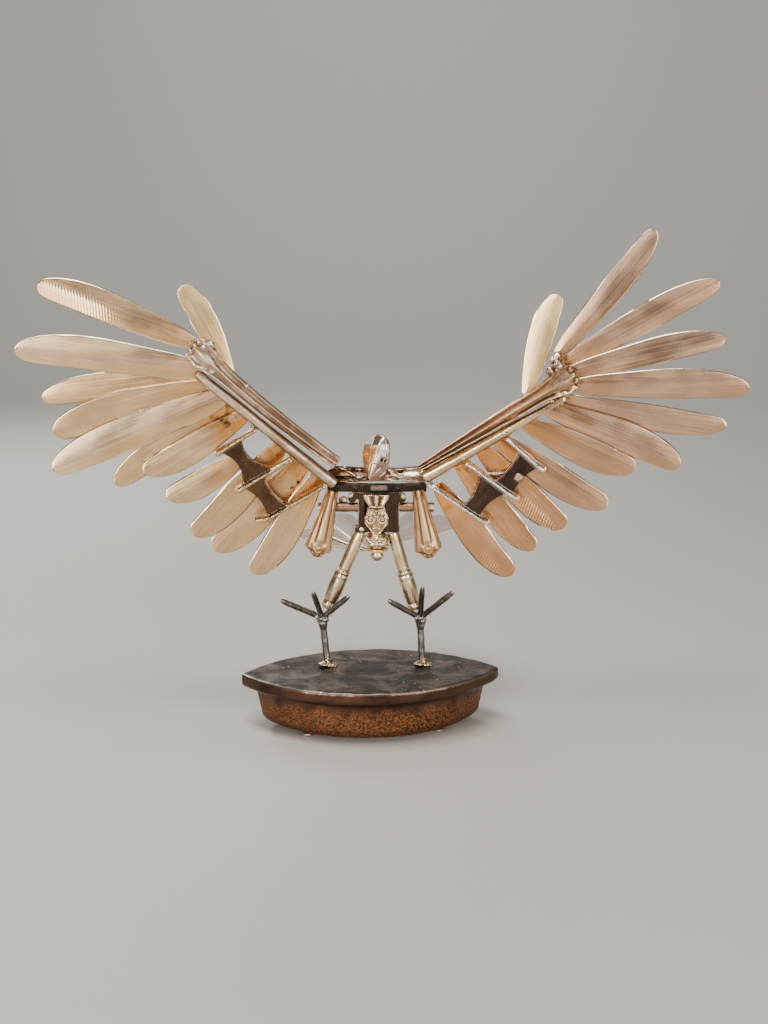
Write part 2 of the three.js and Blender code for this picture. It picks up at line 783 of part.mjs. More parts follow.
function makeTail() {
  tailFeathers.forEach(({ name, turn, start, length }, layer) => {
    const blade = { length, width: tailWidth, belly: turn > 90 ? -1 : 1, thickness: tailThickness };
    const feather = knife(blade).translate(start, 0, 0).rotateX(Math.PI / 2).rotateZ(degrees(turn));
    const z = tailZ + layer * tailPitch;
    place(hawk, name, feather.translate(bodyX, tailY, z), bladeSilver);
  });
}

// A rib of the bracket: a strip with a swollen, hooked outer end.
function rib({ length, hook }) {
  const steps = [
    { along: 0, half: ribHalf * 1.2 },
    { along: 3, half: ribHalf },
    { along: length - 9, half: ribHalf },
    { along: length - 5, half: ribHalf * 1.25, offset: hook * 0.15 },
    { along: length - 1.6, half: ribHalf * 1.4, offset: hook * 0.7 },
    { along: length, half: ribHalf * 0.8, offset: hook, thin: 0.9 },
  ];
  return roundedBar(steps, ribDepth);
}

// A casting with three ribs and two waisted webs, its back in the plane of the arms.
function bracketGeometry({ ribs, webs, bar }, point) {
  const starts = ribs.map(({ at }) => {
    const half = THREE.MathUtils.lerp(bar.inner, bar.outer, Math.max(0, at / bar.length)) / 2;
    return point(at, half + fit + ribStand);
  });
  const onRib = (number, along) => {
    const way = degrees(ribs[number].turn);
    return starts[number].clone().add(new THREE.Vector2(Math.cos(way), Math.sin(way)).multiplyScalar(along));
  };
  const pieces = ribs.map((row, number) => {
    return aimed(rib(row), row.turn, starts[number].x, starts[number].y);
  });
  webs.forEach(({ upper, lower, waist }, number) => {
    const [a, b] = upper.map((along) => onRib(number, along));
    const [d, c] = lower.map((along) => onRib(number + 1, along));
    const middle = a.clone().add(b).add(c).add(d).divideScalar(4);
    const across = b.clone().sub(a).normalize().multiplyScalar(waist / 2);
    const control = (p, q, side) => middle.clone().addScaledVector(across, side).multiplyScalar(2)
      .sub(p.clone().add(q).divideScalar(2));
    const outer = control(b, c, 1);
    const inner = control(d, a, -1);
    const shape = new THREE.Shape();
    shape.moveTo(a.x, a.y);
    shape.lineTo(b.x, b.y);
    shape.quadraticCurveTo(outer.x, outer.y, c.x, c.y);
    shape.lineTo(d.x, d.y);
    shape.quadraticCurveTo(inner.x, inner.y, a.x, a.y);
    const options = { depth: webDepth, bevelEnabled: false, curveSegments: 7 };
    const web = new THREE.ExtrudeGeometry(shape, options);
    pieces.push(web.rotateX(Math.PI / 2));
  });
  return { geometry: fused(pieces), onRib };
}

function makeWing(wing) {
  const { side, shoulder, turn, sweep, bar, handle, blades, thumb, welds } = wing;
  const way = side === 'left' ? -1 : 1;
  const barWay = degrees(turn);
  const along2 = new THREE.Vector2(Math.cos(barWay), Math.sin(barWay));
  const out2 = along2.clone().rotateAround(new THREE.Vector2(), -way * Math.PI / 2);
  const point = (at, off) => along2.clone().multiplyScalar(at).addScaledVector(out2, off);

  const group = new THREE.Group();
  group.position.set(shoulder[0], bodyFront, shoulder[1]);
  group.rotation.z = -way * degrees(sweep);
  hawk.add(group);

  const barSteps = [
    { along: 0, half: bar.inner * 0.42, thin: 0.85 },
    { along: 3, half: bar.inner * 0.5 },
    { along: bar.length * 0.5, half: (bar.inner + bar.outer) / 4 },
    { along: bar.length - 3, half: bar.outer / 2, thin: 0.9 },
    { along: bar.length, half: bar.outer * 0.36, thin: 0.7 },
  ];
  const lowerBar = aimed(roundedBar(barSteps, bar.thickness), turn, 0, 0);
  place(group, `${side}_lower_arm_bar`, lowerBar, side === 'left' ? handleSilver : brass);

  const long = handle.length;
  const sag = (share) => handle.sag * 4 * share * (1 - share) * way;
  const handleSteps = [
    [0, handle.inner * 0.86, 0.85],
    [0.03, handle.inner, 1],
    [0.3, (handle.inner + handle.middle) / 2, 1],
    [0.6, handle.middle, 1],
    [0.76, handle.middle * 1.04, 1],
    [0.86, handle.tip * 0.82, 1],
    [0.92, handle.tip, 0.95],
    [0.965, handle.tip * 0.9, 0.85],
    [0.99, handle.tip * 0.62, 0.75],
    [1, handle.tip * 0.3, 0.6],
  ].map(([share, width, thin]) => ({ along: share * long, half: width / 2, offset: -sag(share), thin }));
  const start = point(...handle.start);
  const handleTurn = turn + handle.turn;
  const body = aimed(cutleryHandle(handleSteps, handle.thickness, 2.2), handleTurn, start.x, start.y);
  const lumps = welds.map(([at, off, radius]) => {
    const spot = point(at, off);
    return bead(radius, spot.x, -radius * 0.9, spot.y);
  });
  const shell = [];
  for (let number = 0; number < 4; number += 1) {
    const angle = degrees(-90 + 60 * number);
    const spot = start.clone();
    const offset = new THREE.Vector2(Math.cos(angle), Math.sin(angle)).multiplyScalar(handle.tip * 0.44);
    offset.x += long - handle.tip * 0.5;
    spot.add(offset.rotateAround(new THREE.Vector2(), degrees(handleTurn)));
    shell.push(bead(handle.tip * 0.12, spot.x, -handle.thickness * 0.62, spot.y));
  }
  const material = side === 'left' ? handleSilver : handleCopper;
  place(group, `${side}_arm_handle`, fused([body, ...lumps, ...shell]), material);

  const bracket = bracketGeometry(wing, point);
  if (side === 'right') {
    const spot = bracket.onRib(1, 29).add(bracket.onRib(0, 24)).divideScalar(2);
    const profile = [
      [0, 0],
      [screwRadius * 0.8, 0],
      [screwRadius * 0.8, screwHeight * 0.3],
      [screwRadius, screwHeight * 0.4],
      [screwRadius, screwHeight * 0.8],
      [screwRadius * 0.6, screwHeight],
      [0, screwHeight],
    ];
    const screw = turned(profile, 10).rotateX(Math.PI).translate(spot.x, -webDepth - fit, spot.y);
    place(group, 'bracket_screw', screw, handleSilver);
  }
  place(group, `${side}_wing_bracket`, bracket.geometry, darkBronze);

  const rows = blades.map((row, number) => [`${side}_feather_${number + 1}`, row]);
  rows.push([`${side}_thumb_feather`, thumb]);
  for (const [name, row] of rows) {
    const spot = point(...row.root);
    const deep = firstLayer + (row.layer - 1) * layerPitch;
    const blade = knife({ ...row, belly: way * row.belly });
    const flat = aimed(blade, row.turn, spot.x, spot.y).translate(0, deep, 0);
    const tackWay = degrees(row.turn);
    const tack = new THREE.CylinderGeometry(tackRadius, tackRadius, deep - fit, 4);
    tack.translate(
      spot.x + tackInset * Math.cos(tackWay),
      (deep + fit) / 2,
      spot.y + tackInset * Math.sin(tackWay),
    );
    place(group, name, fused([flat, tack]), side === 'left' ? bladeSilver : bladeCopper);
  }
}

makeBase();
feet.forEach(makeFoot);
makeLeg('left', -1);
makeLeg('right', 1);
makeYoke();
makePlate();
makeBodyFrame();
makeShield();
makeHip();
makeHead();
hangs.forEach(makeHang);
makeTail();
wings.forEach(makeWing);

// The origin is on the floor under the middle of the whole bird.
hawk.updateMatrixWorld(true);
const reach = new THREE.Box3().setFromObject(hawk, true);
hawk.position.set(-(reach.min.x + reach.max.x) / 2, -(reach.min.y + reach.max.y) / 2, -reach.min.z);

export default hawk;
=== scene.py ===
import json
import math

import bmesh
import bpy
import numpy as np
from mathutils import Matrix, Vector, noise
from mathutils.bvhtree import BVHTree
from mathutils.kdtree import KDTree


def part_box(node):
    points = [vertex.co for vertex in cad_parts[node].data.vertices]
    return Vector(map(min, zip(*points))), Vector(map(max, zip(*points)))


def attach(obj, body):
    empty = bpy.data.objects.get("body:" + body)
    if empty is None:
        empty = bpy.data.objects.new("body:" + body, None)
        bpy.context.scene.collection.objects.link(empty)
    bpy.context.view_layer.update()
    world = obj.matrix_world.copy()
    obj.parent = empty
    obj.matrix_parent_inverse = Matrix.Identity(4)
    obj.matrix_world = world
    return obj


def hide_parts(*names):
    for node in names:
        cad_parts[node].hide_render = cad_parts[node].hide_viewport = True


# A welded hawk of knife blades, cutlery handles and nails on an upturned flat iron.
# Each CAD node gets a finer copy with relief pressed into its surface, and welds are beads.
# Left and right are the viewer's. Blender's unit is the metre, heights are in millimetres.

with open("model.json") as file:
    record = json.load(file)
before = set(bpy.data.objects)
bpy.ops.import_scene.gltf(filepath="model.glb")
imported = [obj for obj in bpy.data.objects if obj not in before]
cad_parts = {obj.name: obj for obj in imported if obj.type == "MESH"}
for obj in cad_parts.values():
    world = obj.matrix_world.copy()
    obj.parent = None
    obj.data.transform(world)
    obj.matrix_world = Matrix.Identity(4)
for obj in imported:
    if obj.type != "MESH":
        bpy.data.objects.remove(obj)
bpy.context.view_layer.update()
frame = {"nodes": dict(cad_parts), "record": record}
MM = 0.001

base_low, base_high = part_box("flat_iron_base")
CENTRE = (base_low + base_high) / 2

# The camera stands where the photograph was taken from.
CAMERA_OFFSET = Vector((8.5, -929.5, 345)) * MM
CAMERA_PITCH = math.radians(12.3)
FOCAL_PIXELS = 1480
IMAGE_WIDTH = 768
IMAGE_HEIGHT = 1024
SENSOR_WIDTH = 36
FORWARD = Vector((0, math.cos(CAMERA_PITCH), -math.sin(CAMERA_PITCH)))
UP = Vector((0, math.sin(CAMERA_PITCH), math.cos(CAMERA_PITCH)))

# The floor and its wall, in metres.
FLOOR_REACH = 3.5
WALL_PLACE = 2.6
WALL_CURVE = 1.2
WALL_HEIGHT = 3.5
CURVE_STEPS = 12
FLOOR_COLOUR = (0.50, 0.485, 0.46, 1)

WING_SIDES = ("left", "right")
BLADES_IN_WING = 11
TAIL_PLACES = ("left_outer", "left_middle", "left_inner",
               "right_inner", "right_middle", "right_outer")

# Corners of a CAD mesh that are closer than this are one corner.
JOIN_WITHIN = 0.004 * MM

TUBE_SIDES = 10

# How a cage is pushed out until the smooth surface meets the node's corners.
CAGE_ROUNDS = 3
CAGE_SHARE = 0.9


# Geometry tools

def camera_position():
    return Vector((CENTRE.x, CENTRE.y, 0)) + CAMERA_OFFSET


def joined_bmesh(node):
    """The mesh of a CAD node with its corners joined."""
    bm = bmesh.new()
    bm.from_mesh(frame["nodes"][node].data)
    bmesh.ops.remove_doubles(bm, verts=bm.verts, dist=JOIN_WITHIN)
    bm.normal_update()
    return bm


def to_mesh(bm, name):
    """A new mesh from a bmesh, which is freed."""
    mesh = bpy.data.meshes.new(name)
    bm.to_mesh(mesh)
    bm.free()
    return mesh


def new_object(name, data):
    made = bpy.data.objects.new(name, data)
    bpy.context.scene.collection.objects.link(made)
    return made


def applied(mesh, *modifiers):
    """A new mesh: the given one after the modifiers, each a kind and its settings."""
    source = new_object("work", mesh)
    for kind, settings in modifiers:
        modifier = source.modifiers.new(kind, kind)
        for key, value in settings.items():
            setattr(modifier, key, value)
    bpy.context.view_layer.update()
    depsgraph = bpy.context.evaluated_depsgraph_get()
    result = bpy.data.meshes.new_from_object(source.evaluated_get(depsgraph))
    bpy.data.objects.remove(source)
    return result


def subdivided(mesh, levels):
    return applied(mesh, ("SUBSURF", {"levels": levels, "render_levels": levels}))


def rounded(node, levels, sharp):
    """A subdivided copy of a node through its corners: edges over sharp degrees stay crisp."""
    bm = joined_bmesh(node)
    bmesh.ops.join_triangles(
        bm, faces=bm.faces,
        angle_face_threshold=math.radians(30), angle_shape_threshold=math.radians(80))
    crease = bm.edges.layers.float.new("crease_edge")
    for edge in bm.edges:
        if len(edge.link_faces) == 2 and edge.calc_face_angle() > math.radians(sharp):
            edge[crease] = 1.0
    mesh = to_mesh(bm, "work")
    corners = coordinates(mesh)
    cage = corners.copy()
    for _ in range(CAGE_ROUNDS):
        smooth = coordinates(subdivided(mesh, 1))
        cage += CAGE_SHARE * (corners - smooth[:len(corners)])
        move_to(mesh, cage)
    return subdivided(mesh, levels)


def cast(node, grain, passes=4):
    """A copy of a node in one skin of an even grain in millimetres, softened like a casting."""
    return applied(
        to_mesh(joined_bmesh(node), "work"),
        ("REMESH", {"mode": "VOXEL", "voxel_size": grain * MM, "use_smooth_shade": True}),
        ("SMOOTH", {"factor": 0.5, "iterations": passes}))


def coordinates(mesh):
    found = np.empty(len(mesh.vertices) * 3)
    mesh.vertices.foreach_get("co", found)
    return found.reshape(-1, 3)


def normals(mesh):
    found = np.empty(len(mesh.vertices) * 3)
    mesh.vertex_normals.foreach_get("vector", found)
    return found.reshape(-1, 3)


def move_to(mesh, points):
    mesh.vertices.foreach_set("co", points.ravel())
    mesh.update()


def own_axes(mesh, start):
    """Rows: along the piece away from start, across it, and out of its front."""
    points = coordinates(mesh)
    mesh.calc_loop_triangles()
    triangles = np.array([triangle.vertices[:] for triangle in mesh.loop_triangles])
    a, b, c = (points[triangles[:, corner]] for corner in range(3))
    areas = np.linalg.norm(np.cross(b - a, c - a), axis=1)
    middles = (a + b + c) / 3
    centre = (middles * areas[:, None]).sum(0) / areas.sum()
    spread = (middles - centre) * np.sqrt(areas)[:, None]
    _, vectors = np.linalg.eigh(spread.T @ spread)
    along = vectors[:, 2]
    front = vectors[:, 0]
    if along @ (centre - np.array(start)) < 0:
        along = -along
    if front[1] > 0:
        front = -front
    across = np.cross(front, along)
    return np.array([along, across, front])


def place_in(mesh, axes):
    """Each vertex in millimetres along the axes, from the piece's near end."""
    places = coordinates(mesh) @ axes.T / MM
    low = places.min(0)
    high = places.max(0)
    middle = (low + high) / 2
    return places - np.array([low[0], middle[1], middle[2]])


def emboss(mesh, heights, deep):
    """Presses a pattern in and keeps it as a value, from 0 in its hollows to 1 on top."""
    press(mesh, heights)
    set_values(mesh, "relief", np.clip(PLAIN + 0.5 * heights / deep, 0, 1))


def press(mesh, heights):
    """Moves each vertex out along its normal by a height in millimetres."""
    move_to(mesh, coordinates(mesh) + normals(mesh) * (heights * MM)[:, None])


def rough(mesh, size, height, seed):
    """Heights of an uneven surface, with lumps of the given size."""
    shift = Vector((seed * 7.3, seed * 3.1, seed * 5.7))
    scale = 1 / (size * MM)
    return np.array([noise.noise(Vector(p) * scale + shift) for p in coordinates(mesh)]) * height


def towards_viewer(mesh, start, end):
    """From 0 to 1 as the surface turns to the front."""
    return smooth_step(-normals(mesh)[:, 1], start, end)


def smooth_step(values, start, end):
    share = np.clip((values - start) / (end - start), 0, 1)
    return share * share * (3 - 2 * share)


def ridge(distance, half):
    """A round ridge of height 1 where the distance is 0, gone at half."""
    return np.clip(1 - (distance / half) ** 2, 0, None) ** 1.5


def away_from(spots, pixel):
    """How far each 2-D point is from one place."""
    return np.hypot(*(spots - np.array(pixel)).T)


def distance_to(points, curve):
    """How far each 2-D point is from a polyline's points."""
    nearest = np.full(len(points), np.inf)
    for spot in curve:
        nearest = np.minimum(nearest, away_from(points, spot))
    return nearest


def spiral(centre, radius, start, turns, way, inner=0.15):
    """Points of a scroll that winds in from radius to its inner share."""
    count = 60
    points = []
    for step in range(count + 1):
        share = step / count
        reach = radius * (1 - (1 - inner) * share)
        angle = math.radians(start) + way * turns * 2 * math.pi * share
        points.append((centre[0] + reach * math.cos(angle), centre[1] + reach * math.sin(angle)))
    return points


def tube(name, points, radii, seed):
    """A closed round bar through 3-D points in metres, radii in millimetres."""
    bm = bmesh.new()
    rings = []
    path = [Vector(point) for point in points]
    for index, point in enumerate(path):
        before = path[max(index - 1, 0)]
        after = path[min(index + 1, len(path) - 1)]
        tangent = (after - before).normalized()
        side = tangent.cross(Vector((0, 1, 0.2))).normalized()
        up = side.cross(tangent)
        ring = []
        for corner in range(TUBE_SIDES):
            angle = 2 * math.pi * corner / TUBE_SIDES
            reach = radii[index] * MM
            reach *= 1 + 0.12 * noise.noise(Vector((index * 0.4, corner * 0.7, seed)))
            ring.append(bm.verts.new(point + (side * math.cos(angle) + up * math.sin(angle)) * reach))
        rings.append(ring)
    for first, second in zip(rings, rings[1:]):
        for corner in range(TUBE_SIDES):
            following = (corner + 1) % TUBE_SIDES
            bm.faces.new((first[corner], first[following], second[following], second[corner]))
    bm.faces.new(list(reversed(rings[0])))
    bm.faces.new(rings[-1])
    bmesh.ops.recalc_face_normals(bm, faces=bm.faces)
    return subdivided(to_mesh(bm, name), 1)


def blob(centre, radii, seed):
    """An uneven drop of weld metal, radii in millimetres along x, y and z."""
    bm = bmesh.new()
    bmesh.ops.create_icosphere(bm, subdivisions=3, radius=1)
    for vertex in bm.verts:
        swell = 1 + 0.35 * noise.noise(vertex.co * 1.6 + Vector((seed, seed * 2.1, 0)))
        vertex.co = Vector([vertex.co[axis] * radii[axis] * swell * MM for axis in range(3)])
        vertex.co += centre
    return to_mesh(bm, "weld")


def pixels(points):
    """Where points in metres lie in the photograph."""
    seen = points - np.array(camera_position())
    away = seen @ np.array(FORWARD)
    across = IMAGE_WIDTH / 2 + FOCAL_PIXELS * seen[:, 0] / away
    down = IMAGE_HEIGHT / 2 - FOCAL_PIXELS * (seen @ np.array(UP)) / away
    return np.stack([across, down], 1)


def inside(points, corners):
    """Which 2-D points lie in a polygon."""
    found = np.zeros(len(points), bool)
    for (x1, y1), (x2, y2) in zip(corners, corners[1:] + corners[:1]):
        crosses = (y1 > points[:, 1]) != (y2 > points[:, 1])
        at = x1 + (points[:, 1] - y1) * (x2 - x1) / ((y2 - y1) or 1e-9)
        found ^= crosses & (points[:, 0] < at)
    return found


def line(*corners):
    """Points along a path of straight stretches, a quarter of a unit apart."""
    gap = 0.25
    points = []
    for (x1, y1), (x2, y2) in zip(corners, corners[1:]):
        count = max(int(math.hypot(x2 - x1, y2 - y1) / gap), 1)
        for step in range(count + 1):
            points.append((x1 + (x2 - x1) * step / count, y1 + (y2 - y1) * step / count))
    return points


def at_pixel(node, pixel):
    """Where a pixel of the photograph meets a CAD node, or comes nearest to it."""
    bm = joined_bmesh(node)
    tree = BVHTree.FromBMesh(bm)
    ray = FORWARD * FOCAL_PIXELS + Vector((1, 0, 0)) * (pixel[0] - IMAGE_WIDTH / 2)
    ray -= UP * (pixel[1] - IMAGE_HEIGHT / 2)
    ray.normalize()
    origin = camera_position()
    point = tree.ray_cast(origin, ray)[0]
    if point is None:
        middle = sum((vertex.co for vertex in bm.verts), Vector()) / len(bm.verts)
        nearest = origin + ray * (middle - origin).dot(ray)
        point = tree.find_nearest(nearest)[0]
    bm.free()
    return point


# Materials

class Metal:
    """A metal shader and short ways to add the nodes that drive it."""

    def __init__(self, name, metallic=1.0):
        self.material = bpy.data.materials.new(name)
        self.material.use_nodes = True
        self.tree = self.material.node_tree
        self.surface = self.tree.nodes["Principled BSDF"]
        self.surface.inputs["Metallic"].default_value = metallic

    def feed(self, target, value):
        """Links a socket to another one, or sets its number or colour."""
        if isinstance(value, bpy.types.NodeSocket):
            self.tree.links.new(value, target)
        elif target.type == "RGBA":
            target.default_value = (*value, 1)
        else:
            target.default_value = value

    def add(self, kind, **inputs):
        """A new shader node, with what each of its inputs gets."""
        made = self.tree.nodes.new("ShaderNode" + kind)
        for name, value in inputs.items():
            self.feed(made.inputs[name.replace("_", " ")], value)
        return made

    def value(self, name, output="Fac"):
        """A value that the mesh carries at each vertex."""
        attribute = self.add("Attribute")
        attribute.attribute_name = name
        return attribute.outputs[output]

    def place(self, scale):
        """The vertex's own place in millimetres, times a scale on each axis."""
        made = self.add("Mapping", Scale=scale, Vector=self.value("place", "Vector"))
        return made.outputs["Vector"]

    def noise(self, scale, detail, roughness=0.55, distortion=0.0):
        """Soft random patches over the place, from about 0.3 to 0.7."""
        made = self.add("TexNoise", Scale=1.0, Detail=detail, Roughness=roughness,
                        Distortion=distortion, Vector=self.place(scale))
        return made.outputs["Fac"]

    def wave(self, pace):
        """A sine over the place, from 0 to 1, with its pace along each axis."""
        product = self.add("VectorMath")
        product.operation = "DOT_PRODUCT"
        self.feed(product.inputs[0], self.place((1, 1, 1)))
        self.feed(product.inputs[1], pace)
        return self.spread(self.math("SINE", product.outputs["Value"], 0.0), -1.0, 1.0)

    def cells(self, scale):
        """Distance to the nearest of many scattered dots."""
        return self.add("TexVoronoi", Scale=1.0, Vector=self.place(scale)).outputs["Distance"]

    def curvature(self, low, high):
        """From 0 to 1 as the curve of the mesh goes from low to high: over 0.5 is an edge. Edges are
        lightened with it, as rubbed wear with a painted highlight, and hollows darkened.
        """
        return self.spread(self.add("NewGeometry").outputs["Pointiness"], low, high)

    def spread(self, value, low, high, start=0.0, end=1.0):
        """Turns the range from low to high into the range from start to end."""
        made = self.add("MapRange", Value=value, From_Min=low, From_Max=high,
                        To_Min=start, To_Max=end)
        return made.outputs["Result"]

    def ramp(self, value, stops):
        """A colour from a row of stops, each a position and a colour."""
        made = self.add("ValToRGB", Fac=value)
        elements = made.color_ramp.elements
        while len(elements) < len(stops):
            elements.new(0.5)
        for element, (position, colour) in zip(elements, stops):
            element.position = position
            element.color = (*colour, 1)
        return made.outputs["Color"]

    def mix(self, share, first, second, blend="MIX"):
        """From the first colour to the second as the share goes from 0 to 1."""
        made = self.add("Mix")
        made.data_type = "RGBA"
        made.blend_type = blend
        colours = [socket for socket in made.inputs if socket.type == "RGBA"]
        for socket, value in zip((made.inputs[0], *colours), (share, first, second)):
            self.feed(socket, value)
        return [socket for socket in made.outputs if socket.type == "RGBA"][0]

    def math(self, operation, first, second):
        made = self.add("Math")
        made.operation = operation
        self.feed(made.inputs[0], first)
        self.feed(made.inputs[1], second)
        return made.outputs["Value"]

    def bump(self, height, strength, distance, under=None):
        """A surface normal from a height, its distance in millimetres."""
        made = self.add("Bump", Strength=strength, Distance=distance * MM, Height=height)
        if under is not None:
            self.feed(made.inputs["Normal"], under)
        return made.outputs["Normal"]

    def finish(self, colour, roughness, normal):
        self.feed(self.surface.inputs["Base Color"], colour)
        self.feed(self.surface.inputs["Roughness"], roughness)
        self.feed(self.surface.inputs["Normal"], normal)
        return self.material


def blade_metal(name, middle, spine_highlight, belly_reflection, stain, heat, metallic=1.0):
    """Satin blade steel: a painted reflection at the belly and a painted highlight at the spine across
    its width, faintly brushed, heated at some roots.
    """
    metal = Metal(name, metallic)
    drift = metal.noise((0.012, 0.03, 0.03), detail=0)
    grain = metal.noise((0.02, 1.1, 1.1), detail=1)
    haze_and_sheen = metal.noise((0.03, 0.07, 0.07), detail=2)
    # Across the width the colour runs from a painted reflection at the belly to a painted highlight at
    # the spine.
    side = metal.math("ADD", metal.value("side"), metal.spread(drift, 0.3, 0.7, -0.4, 0.4))
    body = metal.ramp(metal.spread(side, -1.0, 1.0),
                      [(0.04, belly_reflection), (0.38, middle), (0.62, middle), (0.96, spine_highlight)])
    body = metal.mix(metal.math("MULTIPLY", metal.value("tone"), 0.75), body, stain)
    # Hazy patches are lightened towards the spine highlight colour, a painted sheen; the same haze also
    # roughens the finish.
    body = metal.mix(metal.spread(haze_and_sheen, 0.45, 0.7, 0.0, 0.25), body, spine_highlight)
    streaks = metal.ramp(grain, [(0.3, (0.90, 0.88, 0.86)), (0.7, (1.03, 1.03, 1.03))])
    body = metal.mix(0.7, body, streaks, "MULTIPLY")
    smoke = metal.noise((0.07, 0.09, 0.09), detail=3, distortion=1.0)
    scorch = metal.math("MULTIPLY", metal.value("root"), metal.spread(smoke, 0.32, 0.56))
    body = metal.mix(scorch, body, heat)
    soot = metal.math("MULTIPLY", metal.spread(metal.value("root"), 0.6, 1.0),
                      metal.spread(metal.noise((0.17, 0.17, 0.17), detail=2), 0.52, 0.68))
    body = metal.mix(soot, body, (0.10, 0.06, 0.035))
    teeth = metal.math("MULTIPLY", metal.wave((3.2, 1.5, 0.0)), metal.value("ripple"))
    body = metal.mix(metal.math("MULTIPLY", teeth, 0.5), body, (0.34, 0.22, 0.13))
    # The edge value paints a highlight along the blade's rounded rims.
    body = metal.mix(metal.math("MULTIPLY", metal.value("edge"), 0.8), body, (1.0, 0.9, 0.74))
    # Drilled holes are painted near black, a painted shade in place of a cut through the blade.
    body = metal.mix(metal.value("hole"), body, (0.03, 0.022, 0.018))
    finish = metal.math("ADD", metal.spread(grain, 0.3, 0.7, 0.2, 0.26),
                        metal.spread(haze_and_sheen, 0.4, 0.7, 0.0, 0.1))
    normal = metal.bump(grain, 0.1, 0.08)
    normal = metal.bump(drift, 0.5, 2.0, normal)
    normal = metal.bump(teeth, 0.7, 0.3, normal)
    return metal.finish(body, finish, normal)


def handle_metal(name, light, dark, hollow, shine=0.22, glint=(0.98, 0.88, 0.7),
                 other=(0.40, 0.24, 0.13)):
    """Cutlery handle: a painted glint on the high places and sharp edges, and dark in the pressed lines.
    """
    metal = Metal(name)
    patches = metal.noise((0.07, 0.13, 0.13), detail=4, distortion=0.8)
    fine = metal.noise((0.4, 0.9, 0.9), detail=5, roughness=0.65)
    relief = metal.value("relief")
    body = metal.mix(metal.spread(patches, 0.38, 0.6), light, dark)
    body = metal.mix(metal.value("tone"), body, other)
    body = metal.mix(metal.spread(fine, 0.54, 0.76, 0.0, 0.25), body, hollow)
    body = metal.mix(metal.spread(relief, 0.45, 0.1), body, hollow)
    # Raised places get the glint colour, a painted highlight.
    body = metal.mix(metal.spread(relief, 0.6, 1.0, 0.0, 0.75), body, glint)
    # Darker in the hollows, and the glint colour on sharp edges: a painted highlight.
    body = metal.mix(metal.curvature(0.5, 0.43), body, hollow)
    body = metal.mix(metal.curvature(0.53, 0.6), body, glint)
    finish = metal.math("ADD", metal.spread(fine, 0.3, 0.75, shine, shine + 0.16),
                        metal.spread(patches, 0.35, 0.7, 0.0, 0.16))
    normal = metal.bump(fine, 0.2, 0.12)
    normal = metal.bump(patches, 0.3, 0.5, normal)
    return metal.finish(body, finish, normal)


def cast_metal(name, light, dark, hollow, shine, pits, edge):
    """Cast or forged metal: mottled and pitted, with rubbed wear and a painted highlight on its edges,
    and painted highlight spots.
    """
    metal = Metal(name)
    patches = metal.noise((0.06, 0.06, 0.06), detail=5, distortion=0.5)
    grit = metal.noise((0.6, 0.6, 0.6), detail=5, roughness=0.7)
    holes = metal.cells((0.55, 0.55, 0.55))
    body = metal.mix(metal.spread(patches, 0.38, 0.62), light, dark)
    body = metal.mix(metal.spread(grit, 0.5, 0.72, 0.0, 0.8), body, hollow)
    # The bright value paints highlight spots and ribs in the edge colour.
    body = metal.mix(metal.value("bright"), body, edge)
    body = metal.mix(metal.spread(metal.value("relief"), 0.45, 0.1), body, hollow)
    # Darker in the hollows, and the edge colour on sharp edges: rubbed wear with a painted highlight.
    body = metal.mix(metal.curvature(0.5, 0.44), body, hollow)
    body = metal.mix(metal.curvature(0.53, 0.6), body, edge)
    finish = metal.math("ADD", metal.spread(grit, 0.3, 0.7, shine, shine + 0.25),
                        metal.spread(patches, 0.4, 0.7, 0.0, 0.12))
    normal = metal.bump(grit, pits, 0.3)
    normal = metal.bump(holes, pits * 0.5, 0.25, normal)
    normal = metal.bump(patches, 0.5, 1.6, normal)
    return metal.finish(body, finish, normal)


def sheet_metal(name):
    """The head's folded sheet: orange heat colour to mauve grey, a painted highlight on its ridge and
    light patch, and painted shade in its eye pits and fold lines.
    """
    metal = Metal(name)
    cloud = metal.noise((0.12, 0.12, 0.12), detail=4, distortion=0.8)
    fine = metal.noise((0.5, 0.5, 0.5), detail=5, roughness=0.65)
    tone = metal.value("tone")
    body = metal.ramp(tone, [(0.0, (0.66, 0.27, 0.08)), (0.34, (0.86, 0.54, 0.26)),
                             (0.66, (0.60, 0.40, 0.33)), (0.8, (0.46, 0.35, 0.31)),
                             (1.0, (0.30, 0.19, 0.15))])
    body = metal.mix(metal.spread(cloud, 0.5, 0.7, 0.0, 0.25), body, (0.26, 0.15, 0.09))
    # The light value is a painted highlight.
    body = metal.mix(metal.value("light"), body, (1.0, 0.95, 0.88))
    # Deep pressed places, the eye pits and fold lines, are painted nearly black: painted shade.
    body = metal.mix(metal.spread(metal.value("relief"), 0.3, 0.02), body, (0.04, 0.025, 0.02))
    finish = metal.spread(fine, 0.3, 0.7, 0.3, 0.42)
    normal = metal.bump(fine, 0.1, 0.1)
    normal = metal.bump(cloud, 0.2, 0.4, normal)
    return metal.finish(body, finish, normal)


